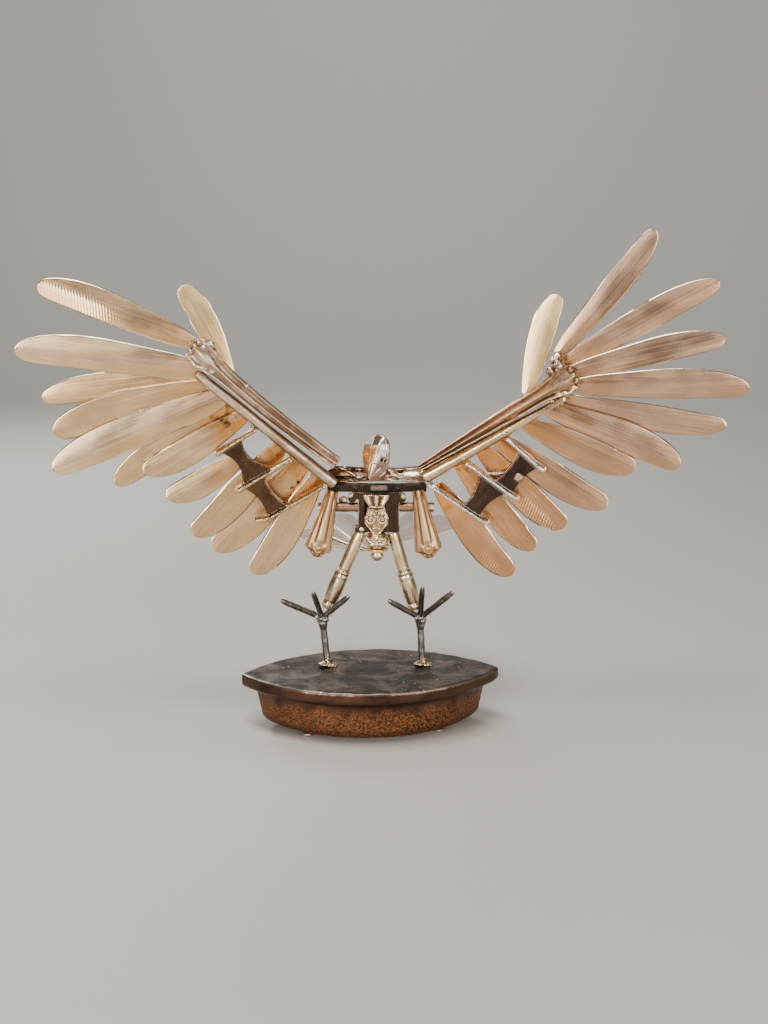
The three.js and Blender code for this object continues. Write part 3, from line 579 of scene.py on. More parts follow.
def sole_metal(name):
    """Cast iron: scuffed black sole, brown glossy rim with a worn arris under a painted highlight,
    grainy rust below.
    """
    metal = Metal(name)
    patches = metal.noise((0.035, 0.035, 0.05), detail=6, distortion=0.6)
    grit = metal.noise((0.8, 0.8, 0.8), detail=3, roughness=0.7)
    scuff = metal.noise((0.045, 0.06, 0.06), detail=8, roughness=0.7, distortion=0.5)
    grains = metal.math("MULTIPLY", metal.spread(grit, 0.42, 0.66), metal.value("low"))
    rust = metal.mix(metal.spread(patches, 0.4, 0.6), (0.105, 0.056, 0.036), (0.05, 0.03, 0.022))
    rust = metal.mix(grains, rust, (0.38, 0.15, 0.06))
    black = metal.mix(metal.spread(scuff, 0.44, 0.64), (0.045, 0.039, 0.036), (0.30, 0.25, 0.215))
    black = metal.mix(metal.spread(grit, 0.5, 0.7, 0.0, 0.5), black, (0.03, 0.026, 0.024))
    specks = metal.spread(metal.cells((0.16, 0.16, 0.16)), 0.12, 0.08)
    specks = metal.math("MULTIPLY", specks, metal.spread(patches, 0.45, 0.5))
    black = metal.mix(specks, black, (0.75, 0.70, 0.62))
    body = metal.mix(metal.value("sole"), rust, black)
    # The arris value is wear with a painted highlight, strongest at the front right.
    body = metal.mix(metal.value("arris"), body, (0.70, 0.57, 0.43))
    finish = metal.math("ADD", metal.spread(grit, 0.3, 0.7, 0.26, 0.42),
                        metal.math("MULTIPLY", metal.value("low"), 0.16))
    normal = metal.bump(grit, 0.3, 0.35)
    normal = metal.bump(patches, 0.4, 1.4, normal)
    return metal.finish(body, finish, normal)


def weld_metal(name, light, dark):
    """A bright rippled weld bead, darker in its folds."""
    metal = Metal(name)
    ripple = metal.noise((0.8, 0.8, 0.8), detail=3, distortion=0.8)
    body = metal.mix(metal.spread(ripple, 0.4, 0.62), dark, light)
    body = metal.mix(metal.curvature(0.5, 0.44), body, (0.12, 0.08, 0.05))
    finish = metal.spread(ripple, 0.3, 0.7, 0.18, 0.36)
    return metal.finish(body, finish, metal.bump(ripple, 0.6, 0.35))


BLACKENED = (0.02, 0.014, 0.011)

# Blades: middle, spine highlight, belly reflection, stain and heat, and how metallic where it isn't
# fully. The spine and belly colours are a painted highlight and a painted reflection.
BLADE_LOOKS = {
    "blade_silver": ((0.66, 0.47, 0.32), (0.82, 0.61, 0.38), (0.82, 0.55, 0.28),
                     (0.78, 0.50, 0.23), (0.78, 0.33, 0.07)),
    "blade_copper": ((0.60, 0.40, 0.27), (0.74, 0.51, 0.35), (0.62, 0.39, 0.23),
                     (0.62, 0.29, 0.11), (0.70, 0.26, 0.05)),
    "blade_pale": ((0.94, 0.68, 0.34), (0.98, 0.76, 0.42), (0.94, 0.66, 0.32),
                   (0.86, 0.60, 0.30), (0.84, 0.46, 0.17), 0.8),
    "blade_white": ((0.76, 0.64, 0.57), (0.90, 0.80, 0.72), (0.82, 0.68, 0.60),
                    (0.72, 0.54, 0.45), (0.76, 0.46, 0.26), 0.85),
}

# Handles: light, dark, hollow, roughness, glint and a second tone.
HANDLE_LOOKS = {
    "handle_tan": ((0.60, 0.39, 0.21), (0.38, 0.23, 0.12), (0.10, 0.055, 0.03),
                   0.22, (0.80, 0.56, 0.32)),
    "yoke": ((0.80, 0.66, 0.52), (0.50, 0.36, 0.26), (0.08, 0.045, 0.03),
             0.16, (1.0, 0.92, 0.8), (0.13, 0.065, 0.03)),
    "handle_silver": ((0.70, 0.56, 0.44), (0.36, 0.24, 0.16), (0.10, 0.06, 0.045)),
    "handle_copper": ((0.50, 0.33, 0.21), (0.33, 0.20, 0.12), (0.08, 0.045, 0.027),
                      0.22, (0.9, 0.72, 0.5)),
    "brass": ((0.90, 0.74, 0.48), (0.70, 0.48, 0.27), (0.14, 0.08, 0.04),
              0.12, (1.0, 0.93, 0.78)),
    "leg_brass": ((0.96, 0.86, 0.66), (0.90, 0.70, 0.40), (0.30, 0.18, 0.09),
                  0.12, (1.0, 0.97, 0.9), (0.74, 0.47, 0.27)),
}

# Castings and forged steel: light, dark, hollow, roughness, pits and the edge colour, for rubbed wear
# with a painted highlight and for painted highlight spots.
CAST_LOOKS = {
    "dark_bronze": ((0.09, 0.056, 0.038), (0.042, 0.027, 0.02), BLACKENED,
                    0.16, 0.15, (0.80, 0.66, 0.42)),
    # dark_plate is painted nearly black: painted shade for the plate in the yoke's shadow.
    "dark_plate": ((0.055, 0.036, 0.027), (0.03, 0.02, 0.016), BLACKENED,
                   0.2, 0.15, (0.24, 0.18, 0.16)),
    "stub_copper": ((0.44, 0.27, 0.16), (0.27, 0.155, 0.09), (0.09, 0.05, 0.03),
                    0.22, 0.15, (0.92, 0.84, 0.76)),
    "bracket_left": ((0.15, 0.085, 0.048), (0.065, 0.038, 0.024), BLACKENED,
                     0.1, 0.1, (0.62, 0.45, 0.26)),
    "bracket_right": ((0.085, 0.055, 0.04), (0.04, 0.026, 0.02), BLACKENED,
                      0.1, 0.1, (0.86, 0.80, 0.74)),
    "dark_steel": ((0.30, 0.28, 0.27), (0.15, 0.135, 0.128), (0.05, 0.038, 0.03),
                   0.2, 0.25, (0.66, 0.60, 0.54)),
    "stud_metal": ((0.62, 0.54, 0.42), (0.40, 0.32, 0.23), (0.16, 0.1, 0.07),
                   0.4, 0.4, (0.6, 0.5, 0.4)),
}

# Welds: light and dark.
WELD_LOOKS = {
    "weld_gold": ((0.92, 0.80, 0.54), (0.50, 0.35, 0.19)),
    "weld_white": ((0.92, 0.89, 0.84), (0.42, 0.37, 0.32)),
}

METALS = {"cast_iron": sole_metal("cast_iron"), "folded_sheet": sheet_metal("folded_sheet")}
for maker, looks in ((blade_metal, BLADE_LOOKS), (handle_metal, HANDLE_LOOKS),
                     (cast_metal, CAST_LOOKS), (weld_metal, WELD_LOOKS)):
    for name, values in looks.items():
        METALS[name] = maker(name, *values)


# Making pieces

# The relief value of a surface that nothing is pressed into.
PLAIN = 0.52


def set_values(mesh, name, values):
    attribute = mesh.attributes.get(name) or mesh.attributes.new(name, "FLOAT", "POINT")
    attribute.data.foreach_set("value", np.asarray(values, np.float32))


def set_place(mesh, places):
    attribute = mesh.attributes.get("place") or mesh.attributes.new("place", "FLOAT_VECTOR", "POINT")
    attribute.data.foreach_set("vector", np.asarray(places, np.float32).ravel())


def add_piece(name, mesh, slot, node=None, metal=None):
    """Puts a finished mesh in the scene, riding on the hawk and maybe standing for a node."""
    mesh.name = name
    mesh.materials.clear()
    mesh.materials.append(METALS[metal or slot])
    mesh.polygons.foreach_set("use_smooth", [True] * len(mesh.polygons))
    if "place" not in mesh.attributes:
        set_place(mesh, coordinates(mesh) / MM)
    if "relief" not in mesh.attributes:
        set_values(mesh, "relief", np.full(len(mesh.vertices), PLAIN))
    piece = new_object(name, mesh)
    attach(piece, "root")
    if node:
        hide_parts(node)


def node_slot(node):
    """The record's material slot that the frame gives a node."""
    for subpart in frame["record"]["subparts"]:
        if subpart["node"] == node:
            return subpart["material_slot"]
    raise KeyError(node)


def dress(node, ending, mesh, metal=None):
    """Puts a mesh in the scene in place of its node, named after it."""
    add_piece(f"{node}_{ending}", mesh, node_slot(node), node, metal)


def wing_root(side):
    """Where the wing's lower bar starts at the shoulder."""
    low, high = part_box(f"{side}_lower_arm_bar")
    x = high.x if side == "left" else low.x
    return Vector((x, (low.y + high.y) / 2, low.z))


def half_widths(places, count):
    """Half the width of a piece at each vertex, from slices along it."""
    share = places[:, 0] / places[:, 0].max()
    slices = np.clip((share * count).astype(int), 0, count - 1)
    widest = np.zeros(count)
    np.maximum.at(widest, slices, np.abs(places[:, 1]))
    known = widest > 0
    widest = np.interp(np.arange(count), np.arange(count)[known], widest[known])
    return np.interp(share * count - 0.5, np.arange(count), widest)


def make_blade(node, start, tone, heat=0.0, ripple=0.0, holes=()):
    """A knife blade, with its place across it for the painted belly reflection and spine highlight, and
    heat at its root or ripples near its tip.
    """
    mesh = rounded(node, 4 if holes else 3, sharp=42)
    axes = own_axes(mesh, start)
    places = place_in(mesh, axes)
    length = places[:, 0].max()
    facing = normals(mesh) @ axes[2]
    lift = rough(mesh, 30, 0.2, seed=tone * 9)
    press(mesh, lift * np.sign(facing))
    along = places[:, 0]
    across = places[:, 1] * (1 if axes[1][2] > 0 else -1)
    # The side value places the painted belly reflection and spine highlight across the blade.
    set_values(mesh, "side", across / np.maximum(half_widths(places, 40), 1))
    set_values(mesh, "tone", np.full(len(places), tone))
    set_values(mesh, "root", heat * (1 - smooth_step(along, 14, 38)))
    # The edge value is a painted highlight on the rims, where the surface turns away from the blade's
    # face.
    set_values(mesh, "edge", smooth_step(np.abs(facing), 0.85, 0.6))
    spots = pixels(coordinates(mesh))
    pits = np.zeros(len(spots))
    for pixel, radius in holes:
        pits = np.maximum(pits, smooth_step(away_from(spots, pixel), radius, radius * 0.6))
    # The hole value is painted shade: near-black spots where the holes are.
    set_values(mesh, "hole", pits)
    near_tip = smooth_step(along, length * 0.4, length * 0.8)
    set_values(mesh, "ripple", ripple * near_tip * smooth_step(-across, -3, 3))
    set_place(mesh, places + np.array([tone * 400, 0, 0]))
    return mesh


# How far each blade is stained, how hot its root was and which are rippled at the tip.
BLADE_TONES = {
    "left": (0.45, 0.1, 0.95, 0.8, 0.0, 0.8, 0.6, 0.2, 0.85, 0.7, 0.55),
    "right": (0.05, 0.2, 0.05, 0.15, 0.1, 0.2, 0.5, 0.5, 1.0, 1.0, 0.9),
}
BLADE_HEAT = {
    "left": (0.3, 0.2, 0.3, 0.4, 0.3, 0.9, 1.0, 0.6, 0.8, 0.8, 0.7),
    "right": (0.4, 0.3, 0.2, 0.2, 0.2, 0.3, 0.5, 0.6, 0.7, 0.9, 0.8),
}
RIPPLED = {("left", 1): 1.0, ("left", 2): 0.12, ("right", 9): 1.0, ("right", 11): 0.5}

# Drilled holes by their places and radii in the photograph, painted as near-black spots of painted
# shade.
DRILLED = {("left", 10): [((298.0, 482.0), 2.1), ((291.7, 487.6), 1.7), ((291.0, 495.5), 1.5)]}


def make_blades():
    for side in WING_SIDES:
        root = wing_root(side)
        for number in range(1, BLADES_IN_WING + 1):
            node = f"{side}_feather_{number}"
            mesh = make_blade(node, root, BLADE_TONES[side][number - 1],
                              BLADE_HEAT[side][number - 1], RIPPLED.get((side, number), 0.0),
                              DRILLED.get((side, number), ()))
            dress(node, "blade", mesh)
        node = f"{side}_thumb_feather"
        mesh = make_blade(node, root, 0.1, 0.3)
        dress(node, "blade", mesh, "blade_pale")
    hip = Vector((CENTRE.x, base_low.y, 0.1))
    for index, place in enumerate(TAIL_PLACES):
        node = f"tail_feather_{place}"
        mesh = make_blade(node, hip, 0.06 * index, ripple=0.25)
        dress(node, "blade", mesh, "blade_white")


def arm_relief(places, face, knots):
    """A table handle's raised rim, a line inside it, and scroll knots along its edges."""
    along, across = places[:, 0], places[:, 1]
    length = along.max()
    share = along / length
    half = half_widths(places, 60)
    side = np.abs(across) / half
    thick = 0.14 + 0.05 * smooth_step(share, 0.7, 0.9)
    heights = 0.35 * ridge(side - 1 + thick, thick) - 0.3 * ridge(side - 0.7, 0.1)
    heights += 0.18 * ridge(side - 0.58, 0.08)
    spots = np.stack([along, across], 1)
    for at, way, size in knots:
        edge = way * np.interp(at * length, np.sort(along), half[np.argsort(along)])
        middle = (at * length, edge * 0.8)
        curve = spiral(middle, size, 180, 1.3, way)
        heights += 0.75 * ridge(distance_to(spots, curve), 0.7)
        for shift in (-1.7, 1.7):
            bead = np.hypot(along - middle[0] - shift * size, across - middle[1])
            heights += 0.45 * ridge(bead, size * 0.5)
    end = smooth_step(share, 0.86, 0.9) * ridge(side - 0.82, 0.18)
    rays = np.cos(np.arctan2(across, along - length * 0.9) * 11)
    heights += 0.45 * end * (0.4 + 0.6 * rays)
    return heights * face


# Scroll knots of the arm handles: place along, side, size in millimetres.
ARM_KNOTS = {
    "left": ((0.56, 1, 1.3), (0.61, 1, 1.6), (0.66, 1, 1.2), (0.88, 1, 1.7), (0.88, -1, 1.9)),
    "right": ((0.52, 1, 1.3), (0.58, 1, 1.7), (0.64, 1, 1.3), (0.86, 1, 1.9), (0.86, -1, 1.9),
              (0.95, 1, 1.5), (0.95, -1, 1.5)),
}


def cutlery(node, start):
    """A handle's smooth mesh, its axes, its vertices' places and which face the front."""
    mesh = rounded(node, 3, sharp=60)
    axes = own_axes(mesh, start)
    face = smooth_step(normals(mesh) @ axes[2], 0.1, 0.6)
    return mesh, axes, place_in(mesh, axes), face


def make_arms():
    for side in WING_SIDES:
        root = wing_root(side)
        node = f"{side}_arm_handle"
        mesh, axes, places, face = cutlery(node, root)
        places[:, 1] *= 1 if axes[1][2] > 0 else -1
        emboss(mesh, arm_relief(places, face, ARM_KNOTS[side]), 0.5)
        set_place(mesh, places)
        dress(node, "cutlery", mesh)
        node = f"{side}_lower_arm_bar"
        mesh, _, places, _ = cutlery(node, root)
        press(mesh, rough(mesh, 6, 0.25, 3) + rough(mesh, 2.2, 0.12, 5))
        set_place(mesh, places)
        dress(node, "cutlery", mesh)


def hanging_relief(places, face):
    """A raised middle panel with a button near the end of a small handle."""
    along, across = places[:, 0], places[:, 1]
    length = along.max()
    width = np.abs(across).max()
    share = along / length
    side = np.abs(across) / (width * (0.42 + 0.5 * share))
    panel = (1 - smooth_step(side, 0.28, 0.42)) * (1 - smooth_step(share, 0.74, 0.8))
    heights = 0.55 * panel + 0.3 * ridge(across, 0.9) * (share < 0.74)
    heights -= 0.3 * ridge(np.abs(side - 0.5), 0.1) * (share < 0.8)
    button = np.hypot(along - length * 0.86, across)
    heights += 0.7 * ridge(button, 1.6) + 0.4 * ridge(np.abs(button - 2.9), 0.7)
    for way in (-1, 1):
        leaf = np.hypot((along - length * 0.83) / 1.4, across - way * 3.6)
        heights += 0.4 * ridge(leaf, 1.3)
    return heights * face


def make_hanging_handles():
    for side in WING_SIDES:
        node = f"{side}_hanging_handle"
        low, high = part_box(node)
        mesh, _, places, face = cutlery(node, Vector(((low.x + high.x) / 2, low.y, high.z)))
        emboss(mesh, hanging_relief(places, face), 0.6)
        set_place(mesh, places)
        dress(node, "cutlery", mesh, "handle_tan")


# Legs are measured from above the hips down.
KNEE_SIDE = 0.2


def leg_relief(places, part):
    """Two turned rings, at both ends of a shin and near the lower end of a thigh, and one groove part of
    the way down.
    """
    along = places[:, 0]
    length = along.max()
    rings = (1.6, length - 3.2) if part == "shin" else (length - 3.4, length - 1.2)
    heights = sum(0.25 * ridge(along - ring, 1.1) for ring in rings)
    return heights - 0.35 * ridge(along - rings[1] + 1.6, 0.8)


def make_legs():
    for side in WING_SIDES:
        for part in ("thigh", "shin"):
            node = f"{side}_{part}"
            mesh = rounded(node, 3, sharp=60)
            places = place_in(mesh, own_axes(mesh, Vector((CENTRE.x, base_low.y, KNEE_SIDE))))
            emboss(mesh, leg_relief(places, part) + rough(mesh, 12, 0.1, 4), 0.5)
            set_values(mesh, "tone", 0.7 * smooth_step(rough(mesh, 7, 1, 6), -0.1, 0.4))
            set_place(mesh, places)
            dress(node, "rod", mesh, "leg_brass")
        node = f"{side}_foot"
        mesh = cast(node, 0.42)
        press(mesh, 0.3 + rough(mesh, 3, 0.18, 2))
        dress(node, "nails", mesh)


def shield_relief(points, face):
    """Leaves that flare at the top, a diamond, two facing scrolls, an arc and beads."""
    low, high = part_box("breast_shield")
    across = (points[:, 0] - (low.x + high.x) / 2) / MM
    down = (high.z - points[:, 2]) / MM
    height = (high.z - low.z) / MM
    bins = np.clip((down / height * 40).astype(int), 0, 39)
    half = np.array([np.abs(across[bins == index]).max() for index in range(40)])[bins]
    side = across / half
    spots = np.stack([across, down], 1)
    leaf_end = height * 0.29
    leaves = (1 - smooth_step(down, leaf_end - 1, leaf_end)) * np.cos(side * 2.5 * math.pi)
    heights = 0.7 * leaves
    heights += 0.6 * ridge(down - leaf_end - 0.4, 0.7) - 0.5 * ridge(down - leaf_end - 1.5, 0.5)
    heights += 0.55 * ridge(np.abs(across) - half + 0.9, 0.6) * smooth_step(down, leaf_end, leaf_end + 2)
    diamond = np.abs(across) / 2.0 + np.abs(down - height * 0.45) / 2.2
    heights += 0.5 * ridge(diamond - 1, 0.35) + 0.5 * ridge(diamond, 0.4)
    for way in (-1, 1):
        curve = spiral((way * 3.5, height * 0.63), 2.7, 90 - 90 * way, 1.35, way, inner=0.1)
        heights += 0.95 * ridge(distance_to(spots, curve), 0.62)
        heights += 0.6 * ridge(np.hypot(across - way * 1.5, down - height * 0.79), 0.8)
        stem = line((way * 0.6, height * 0.52), (way * 1.1, height * 0.7), (way * 2.6, height * 0.86))
        heights += 0.5 * ridge(distance_to(spots, stem), 0.45)
    heights += 0.6 * ridge(np.hypot(across, down - height * 0.93) - 2.4, 0.55)
    return (heights - 0.3) * face


def make_shield():
    mesh = cast("breast_shield", 0.25, 2)
    face = towards_viewer(mesh, 0.3, 0.7)
    emboss(mesh, shield_relief(coordinates(mesh), face), 0.55)
    dress("breast_shield", "brass", mesh)


# The head's folds, eyes and patch of painted highlight, by their places in the photograph.
HEAD_RIDGE = [(384.6, 436.5), (378.4, 447.3), (375.0, 457.4), (372.2, 468.5), (369.6, 477.5)]
HEAD_PATCH = [(384.6, 436.5), (379.2, 448.6), (376.0, 460.0), (373.6, 470.0), (377.8, 464.0),
              (381.6, 456.5), (387.2, 457.2), (386.6, 447.0)]
HEAD_EYES = [((382.4, 460.0), 1.5), ((385.6, 461.2), 1.2)]
HEAD_FOLDS = [[(387.3, 457.4), (384.6, 436.5)], [(389.0, 463.5), (380.0, 467.0), (373.5, 475.5)],
              [(386.0, 471.0), (379.5, 476.5)], [(367.5, 452.5), (371.5, 461.0), (368.6, 470.5)]]


def make_head():
    mesh = cast("head", 0.32, 4)
    spots = pixels(coordinates(mesh))
    facing = normals(mesh)
    face = smooth_step(-facing[:, 1], 0.05, 0.4)
    to_ridge = distance_to(spots, line(*HEAD_RIDGE))
    heights = 0.8 * ridge(to_ridge, 1.6)
    to_rim = distance_to(spots, line(*HEAD_PATCH, HEAD_PATCH[0]))
    to_rim = np.where(inside(spots, HEAD_PATCH), to_rim, -to_rim)
    patch = smooth_step(to_rim, -0.5, 0.4) * (facing[:, 1] < 0)
    ridge_x = np.interp(spots[:, 1], [y for _, y in HEAD_RIDGE], [x for x, _ in HEAD_RIDGE])
    left = smooth_step(ridge_x - spots[:, 0], -0.6, 0.4)
    dome = smooth_step(spots[:, 1], 450, 443)
    throat = smooth_step(spots[:, 1], 460, 466)
    right_tone = 0.8 - 0.14 * throat
    left_tone = 0.9 * dome + (1 - dome) * (0.06 + 0.26 * smooth_step(spots[:, 1], 455, 468))
    tone = np.where(facing[:, 1] > 0.1, 0.9, right_tone * (1 - left) + left_tone * left)
    # The light value is a painted highlight on the patch and along the ridge.
    light = np.maximum(patch, smooth_step(to_ridge, 1.3, 0.5) * (facing[:, 1] < 0))
    set_values(mesh, "light", light)
    heights += 0.35 * patch
    # Fold lines and eye pits are pressed in; the sheet metal paints the deepest of them dark as painted
    # shade.
    for fold in HEAD_FOLDS:
        heights -= 0.5 * ridge(distance_to(spots, line(*fold)), 0.9)
    for eye, radius in HEAD_EYES:
        heights -= 1.7 * ridge(away_from(spots, eye), radius * 1.4)
    emboss(mesh, heights * face, 0.9)
    set_values(mesh, "tone", tone)
    dress("head", "folded", mesh, "folded_sheet")


# The yoke's pressed lines and its two slots, by their places in the photograph.
YOKE_LINES = [[(385.5, 467.0), (391.5, 474.0), (401.0, 478.5), (417.0, 480.5)],
              [(389.5, 470.0), (398.0, 476.2), (408.0, 477.8), (416.0, 476.0)],
              [(384.0, 472.5), (389.0, 478.0), (398.0, 481.5)],
              [(341.0, 467.5), (349.0, 472.0), (357.0, 476.5), (366.0, 479.0)],
              [(345.0, 478.0), (354.0, 479.5), (362.0, 476.0), (369.0, 477.5)]]
YOKE_SLOTS = [(358.0, 470.3), (400.5, 471.8)]


def make_yoke():
    mesh = cast("shoulder_yoke", 0.36, 3)
    spots = pixels(coordinates(mesh))
    face = towards_viewer(mesh, 0.0, 0.5)
    heights = -0.15 * np.ones(len(spots))
    for path in YOKE_LINES:
        heights += 0.5 * ridge(distance_to(spots, line(*path)), 1.7)
    for pixel in YOKE_SLOTS:
        offset = spots - np.array(pixel)
        heights -= 1.6 * ridge(np.hypot(offset[:, 0] / 3.4, offset[:, 1] / 1.3), 1.0)
    emboss(mesh, heights * face + rough(mesh, 4, 0.12, 1), 0.7)
    set_values(mesh, "tone", smooth_step(spots[:, 0], 388, 370))
    dress("shoulder_yoke", "cutlery", mesh, "yoke")


def make_collar_folds():
    """Two drooping crescents around the front of the hip collar, which is the ring under them."""
    low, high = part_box("hip_collar")
    middle = (low + high) / 2
    reach = (high.x - low.x) / 2 - 0.9 * MM
    for way, side in ((-1, "left"), (1, "right")):
        path = []
        radii = []
        for step in range(15):
            share = step / 14
            angle = math.radians(-90 + way * (88 - 84 * share))
            drop = high.z - 1.6 * MM - 4.6 * MM * math.sin(share * math.pi * 0.62)
            path.append((middle.x + reach * math.cos(angle), middle.y + reach * math.sin(angle), drop))
            radii.append(0.35 + 1.15 * math.sin(share * math.pi) ** 0.7)
        mesh = tube("fold", path, radii, 3 + way)
        add_piece(f"collar_fold_{side}", mesh, "handle_silver", metal="weld_white")


# Painted highlights on front-facing surfaces, by their places and radii in the photograph.
PAINTED_HIGHLIGHTS = {
    "body_frame": [((350.5, 495.3), 3.0), ((403.4, 496.4), 3.4)],
    "shoulder_plate": [((across, 488.0), 3.6) for across in (373, 376, 379, 382, 385)],
    "left_stub_rod": [((346.0, 500.0), 4.0), ((319.0, 509.0), 4.0)],
    "right_stub_rod": [((432.0, 507.0), 4.5), ((414.5, 513.5), 2.0)],
}


# The body's small castings: the grain of the mesh and the metal.
CAST_PIECES = {
    # The shoulder plate's near-black metal is painted shade under the yoke.
    "shoulder_plate": (0.4, "dark_plate"),
    "body_frame": (0.4, "dark_bronze"),
    "hip_collar": (0.3, "brass"),
    "left_stub_rod": (0.4, "stub_copper"),
    "right_stub_rod": (0.4, "stub_copper"),
}


def make_body():
    make_yoke()
    make_shield()
    make_head()
    make_collar_folds()
    for node, (grain, metal) in CAST_PIECES.items():
        mesh = cast(node, grain, 3)
        press(mesh, rough(mesh, 5, 0.2, 1))
        spots = pixels(coordinates(mesh))
        front = towards_viewer(mesh, 0.0, 0.5)
        # Bright patches on the front are painted highlights.
        bright = np.zeros(len(spots))
        for pixel, radius in PAINTED_HIGHLIGHTS.get(node, ()):
            bright = np.maximum(bright, smooth_step(away_from(spots, pixel), radius, radius * 0.3))
        set_values(mesh, "bright", bright * front)
        dress(node, "metal", mesh, metal)
    mesh = rounded("tail_knob", 3, sharp=60)
    dress("tail_knob", "metal", mesh)


def rib_share(mesh, places):
    """1 on the ribs of a bracket and 0 on its webs, from how far they stand out in front: the share of
    painted highlight.
    """
    depth = places[:, 2]
    stands_out = places[depth > depth.max() - 0.8]
    tree = KDTree(len(stands_out))
    for index, spot in enumerate(stands_out):
        tree.insert((spot[0], spot[1], 0), index)
    tree.balance()
    gaps = np.array([tree.find((spot[0], spot[1], 0))[2] for spot in places])
    return 1 - smooth_step(gaps, 0.7, 1.3)


# A bright ring's arc on the right bracket: places in the photograph, radii in millimetres.
RING_ARC = [(488.5, 470.0), (491.2, 467.6), (495.5, 466.3), (500.0, 467.0), (503.0, 469.6)]
RING_RADII = [0.5, 0.8, 0.9, 0.8, 0.5]


def make_ring_arc():
    path = [at_pixel("right_wing_bracket", pixel) for pixel in RING_ARC]
    mesh = tube("ring", path, RING_RADII, 4)
    add_piece("right_wing_bracket_ring", mesh, node_slot("right_wing_bracket"), metal="weld_white")


def make_brackets():
    for side in WING_SIDES:
        node = f"{side}_wing_bracket"
        mesh = cast(node, 0.5)
        places = place_in(mesh, own_axes(mesh, wing_root(side)))
        press(mesh, rough(mesh, 8, 0.2, 2))
        # Ribs that stand out in front get a painted highlight in the edge colour.
        set_values(mesh, "bright", rib_share(mesh, places))
        dress(node, "metal", mesh, f"bracket_{side}")
    mesh = rounded("bracket_screw", 3, sharp=50)
    dress("bracket_screw", "metal", mesh)


# Weld beads by what carries them: their pixel in the photograph, radii along x, y and z.
GOLD_WELDS = {
    "left_wing_bracket": [((256.5, 423.5), (1.9, 1.2, 1.3)), ((263.5, 421.5), (1.6, 1.2, 1.4)),
                          ((297.0, 455.0), (1.6, 1.3, 1.8)), ((301.0, 451.5), (1.5, 1.2, 1.3))],
    "right_wing_bracket": [((434.0, 486.5), (2.2, 1.5, 1.4)), ((438.0, 489.5), (1.5, 1.2, 1.2))],
    "body_frame": [((361.5, 529.5), (1.7, 1.3, 1.4)), ((364.5, 532.5), (1.6, 1.3, 1.2)),
                   ((383.0, 533.5), (1.5, 1.2, 1.2))],
    "left_foot": [((325.5, 663.5), (4.8, 4.2, 1.3)), ((331.5, 664.5), (4.2, 3.6, 1.1)),
                  ((327.5, 661.0), (2.2, 2.2, 2.2))],
    "right_foot": [((420.8, 663.0), (4.6, 4.0, 1.2)), ((426.8, 664.0), (4.0, 3.4, 1.1)),
                   ((423.4, 661.0), (2.2, 2.2, 2.2))],
    "right_lower_arm_bar": [((504.5, 433.0), (2.0, 1.4, 1.4)), ((463.0, 458.5), (1.8, 1.4, 1.3)),
                            ((552.5, 401.0), (1.8, 1.4, 1.4))],
}
WHITE_WELDS = {
    "shoulder_yoke": [((425.5, 476.5), (1.6, 1.4, 2.2)), ((345.5, 462.5), (1.4, 1.2, 1.2))],
    "left_foot": [((334.5, 617.5), (1.3, 1.2, 1.0)), ((316.5, 616.5), (1.3, 1.1, 1.1))],
    "right_foot": [((430.5, 614.5), (1.3, 1.2, 1.0)), ((416.5, 617.5), (1.2, 1.1, 1.2))],
    "right_arm_handle": [((553.5, 359.5), (2.3, 1.7, 2.0)), ((557.5, 362.5), (1.8, 1.5, 1.6)),
                         ((560.5, 366.0), (1.9, 1.5, 1.7)), ((549.5, 369.0), (1.5, 1.3, 1.4))],
    "left_arm_handle": [((203.5, 347.5), (1.8, 1.4, 1.4)), ((211.0, 371.5), (1.9, 1.4, 1.6)),
                        ((247.0, 386.5), (1.3, 1.0, 1.0))],
}
DARK_WELDS = {
    "left_foot": [((322.0, 623.0), (2.3, 2.1, 2.6)), ((325.5, 619.0), (2.4, 2.0, 1.9))],
    "right_foot": [((420.0, 617.5), (2.6, 2.2, 2.2)), ((423.0, 620.5), (2.3, 2.0, 2.0))],
}


def make_welds():
    for kind, welds in (("weld_gold", GOLD_WELDS), ("weld_white", WHITE_WELDS),
                        ("dark_steel", DARK_WELDS)):
        for node, beads in welds.items():
            for number, (pixel, radii) in enumerate(beads, 1):
                centre = at_pixel(node, pixel)
                mesh = blob(centre, radii, number * 1.7)
                name = f"{node}_{kind}_{number}"
                add_piece(name, mesh, node_slot(node), metal=kind)


# Millimetres down from the iron's sole: its rim ends, the grainy rust starts and is full.
# The painted highlight on the arris is strongest towards the right.
RIM_END = 6
RUST_FROM = 11
RUST_FULL = 19
SHINE_FROM = CENTRE.x + 20 * MM
SHINE_FULL = base_high.x - 30 * MM


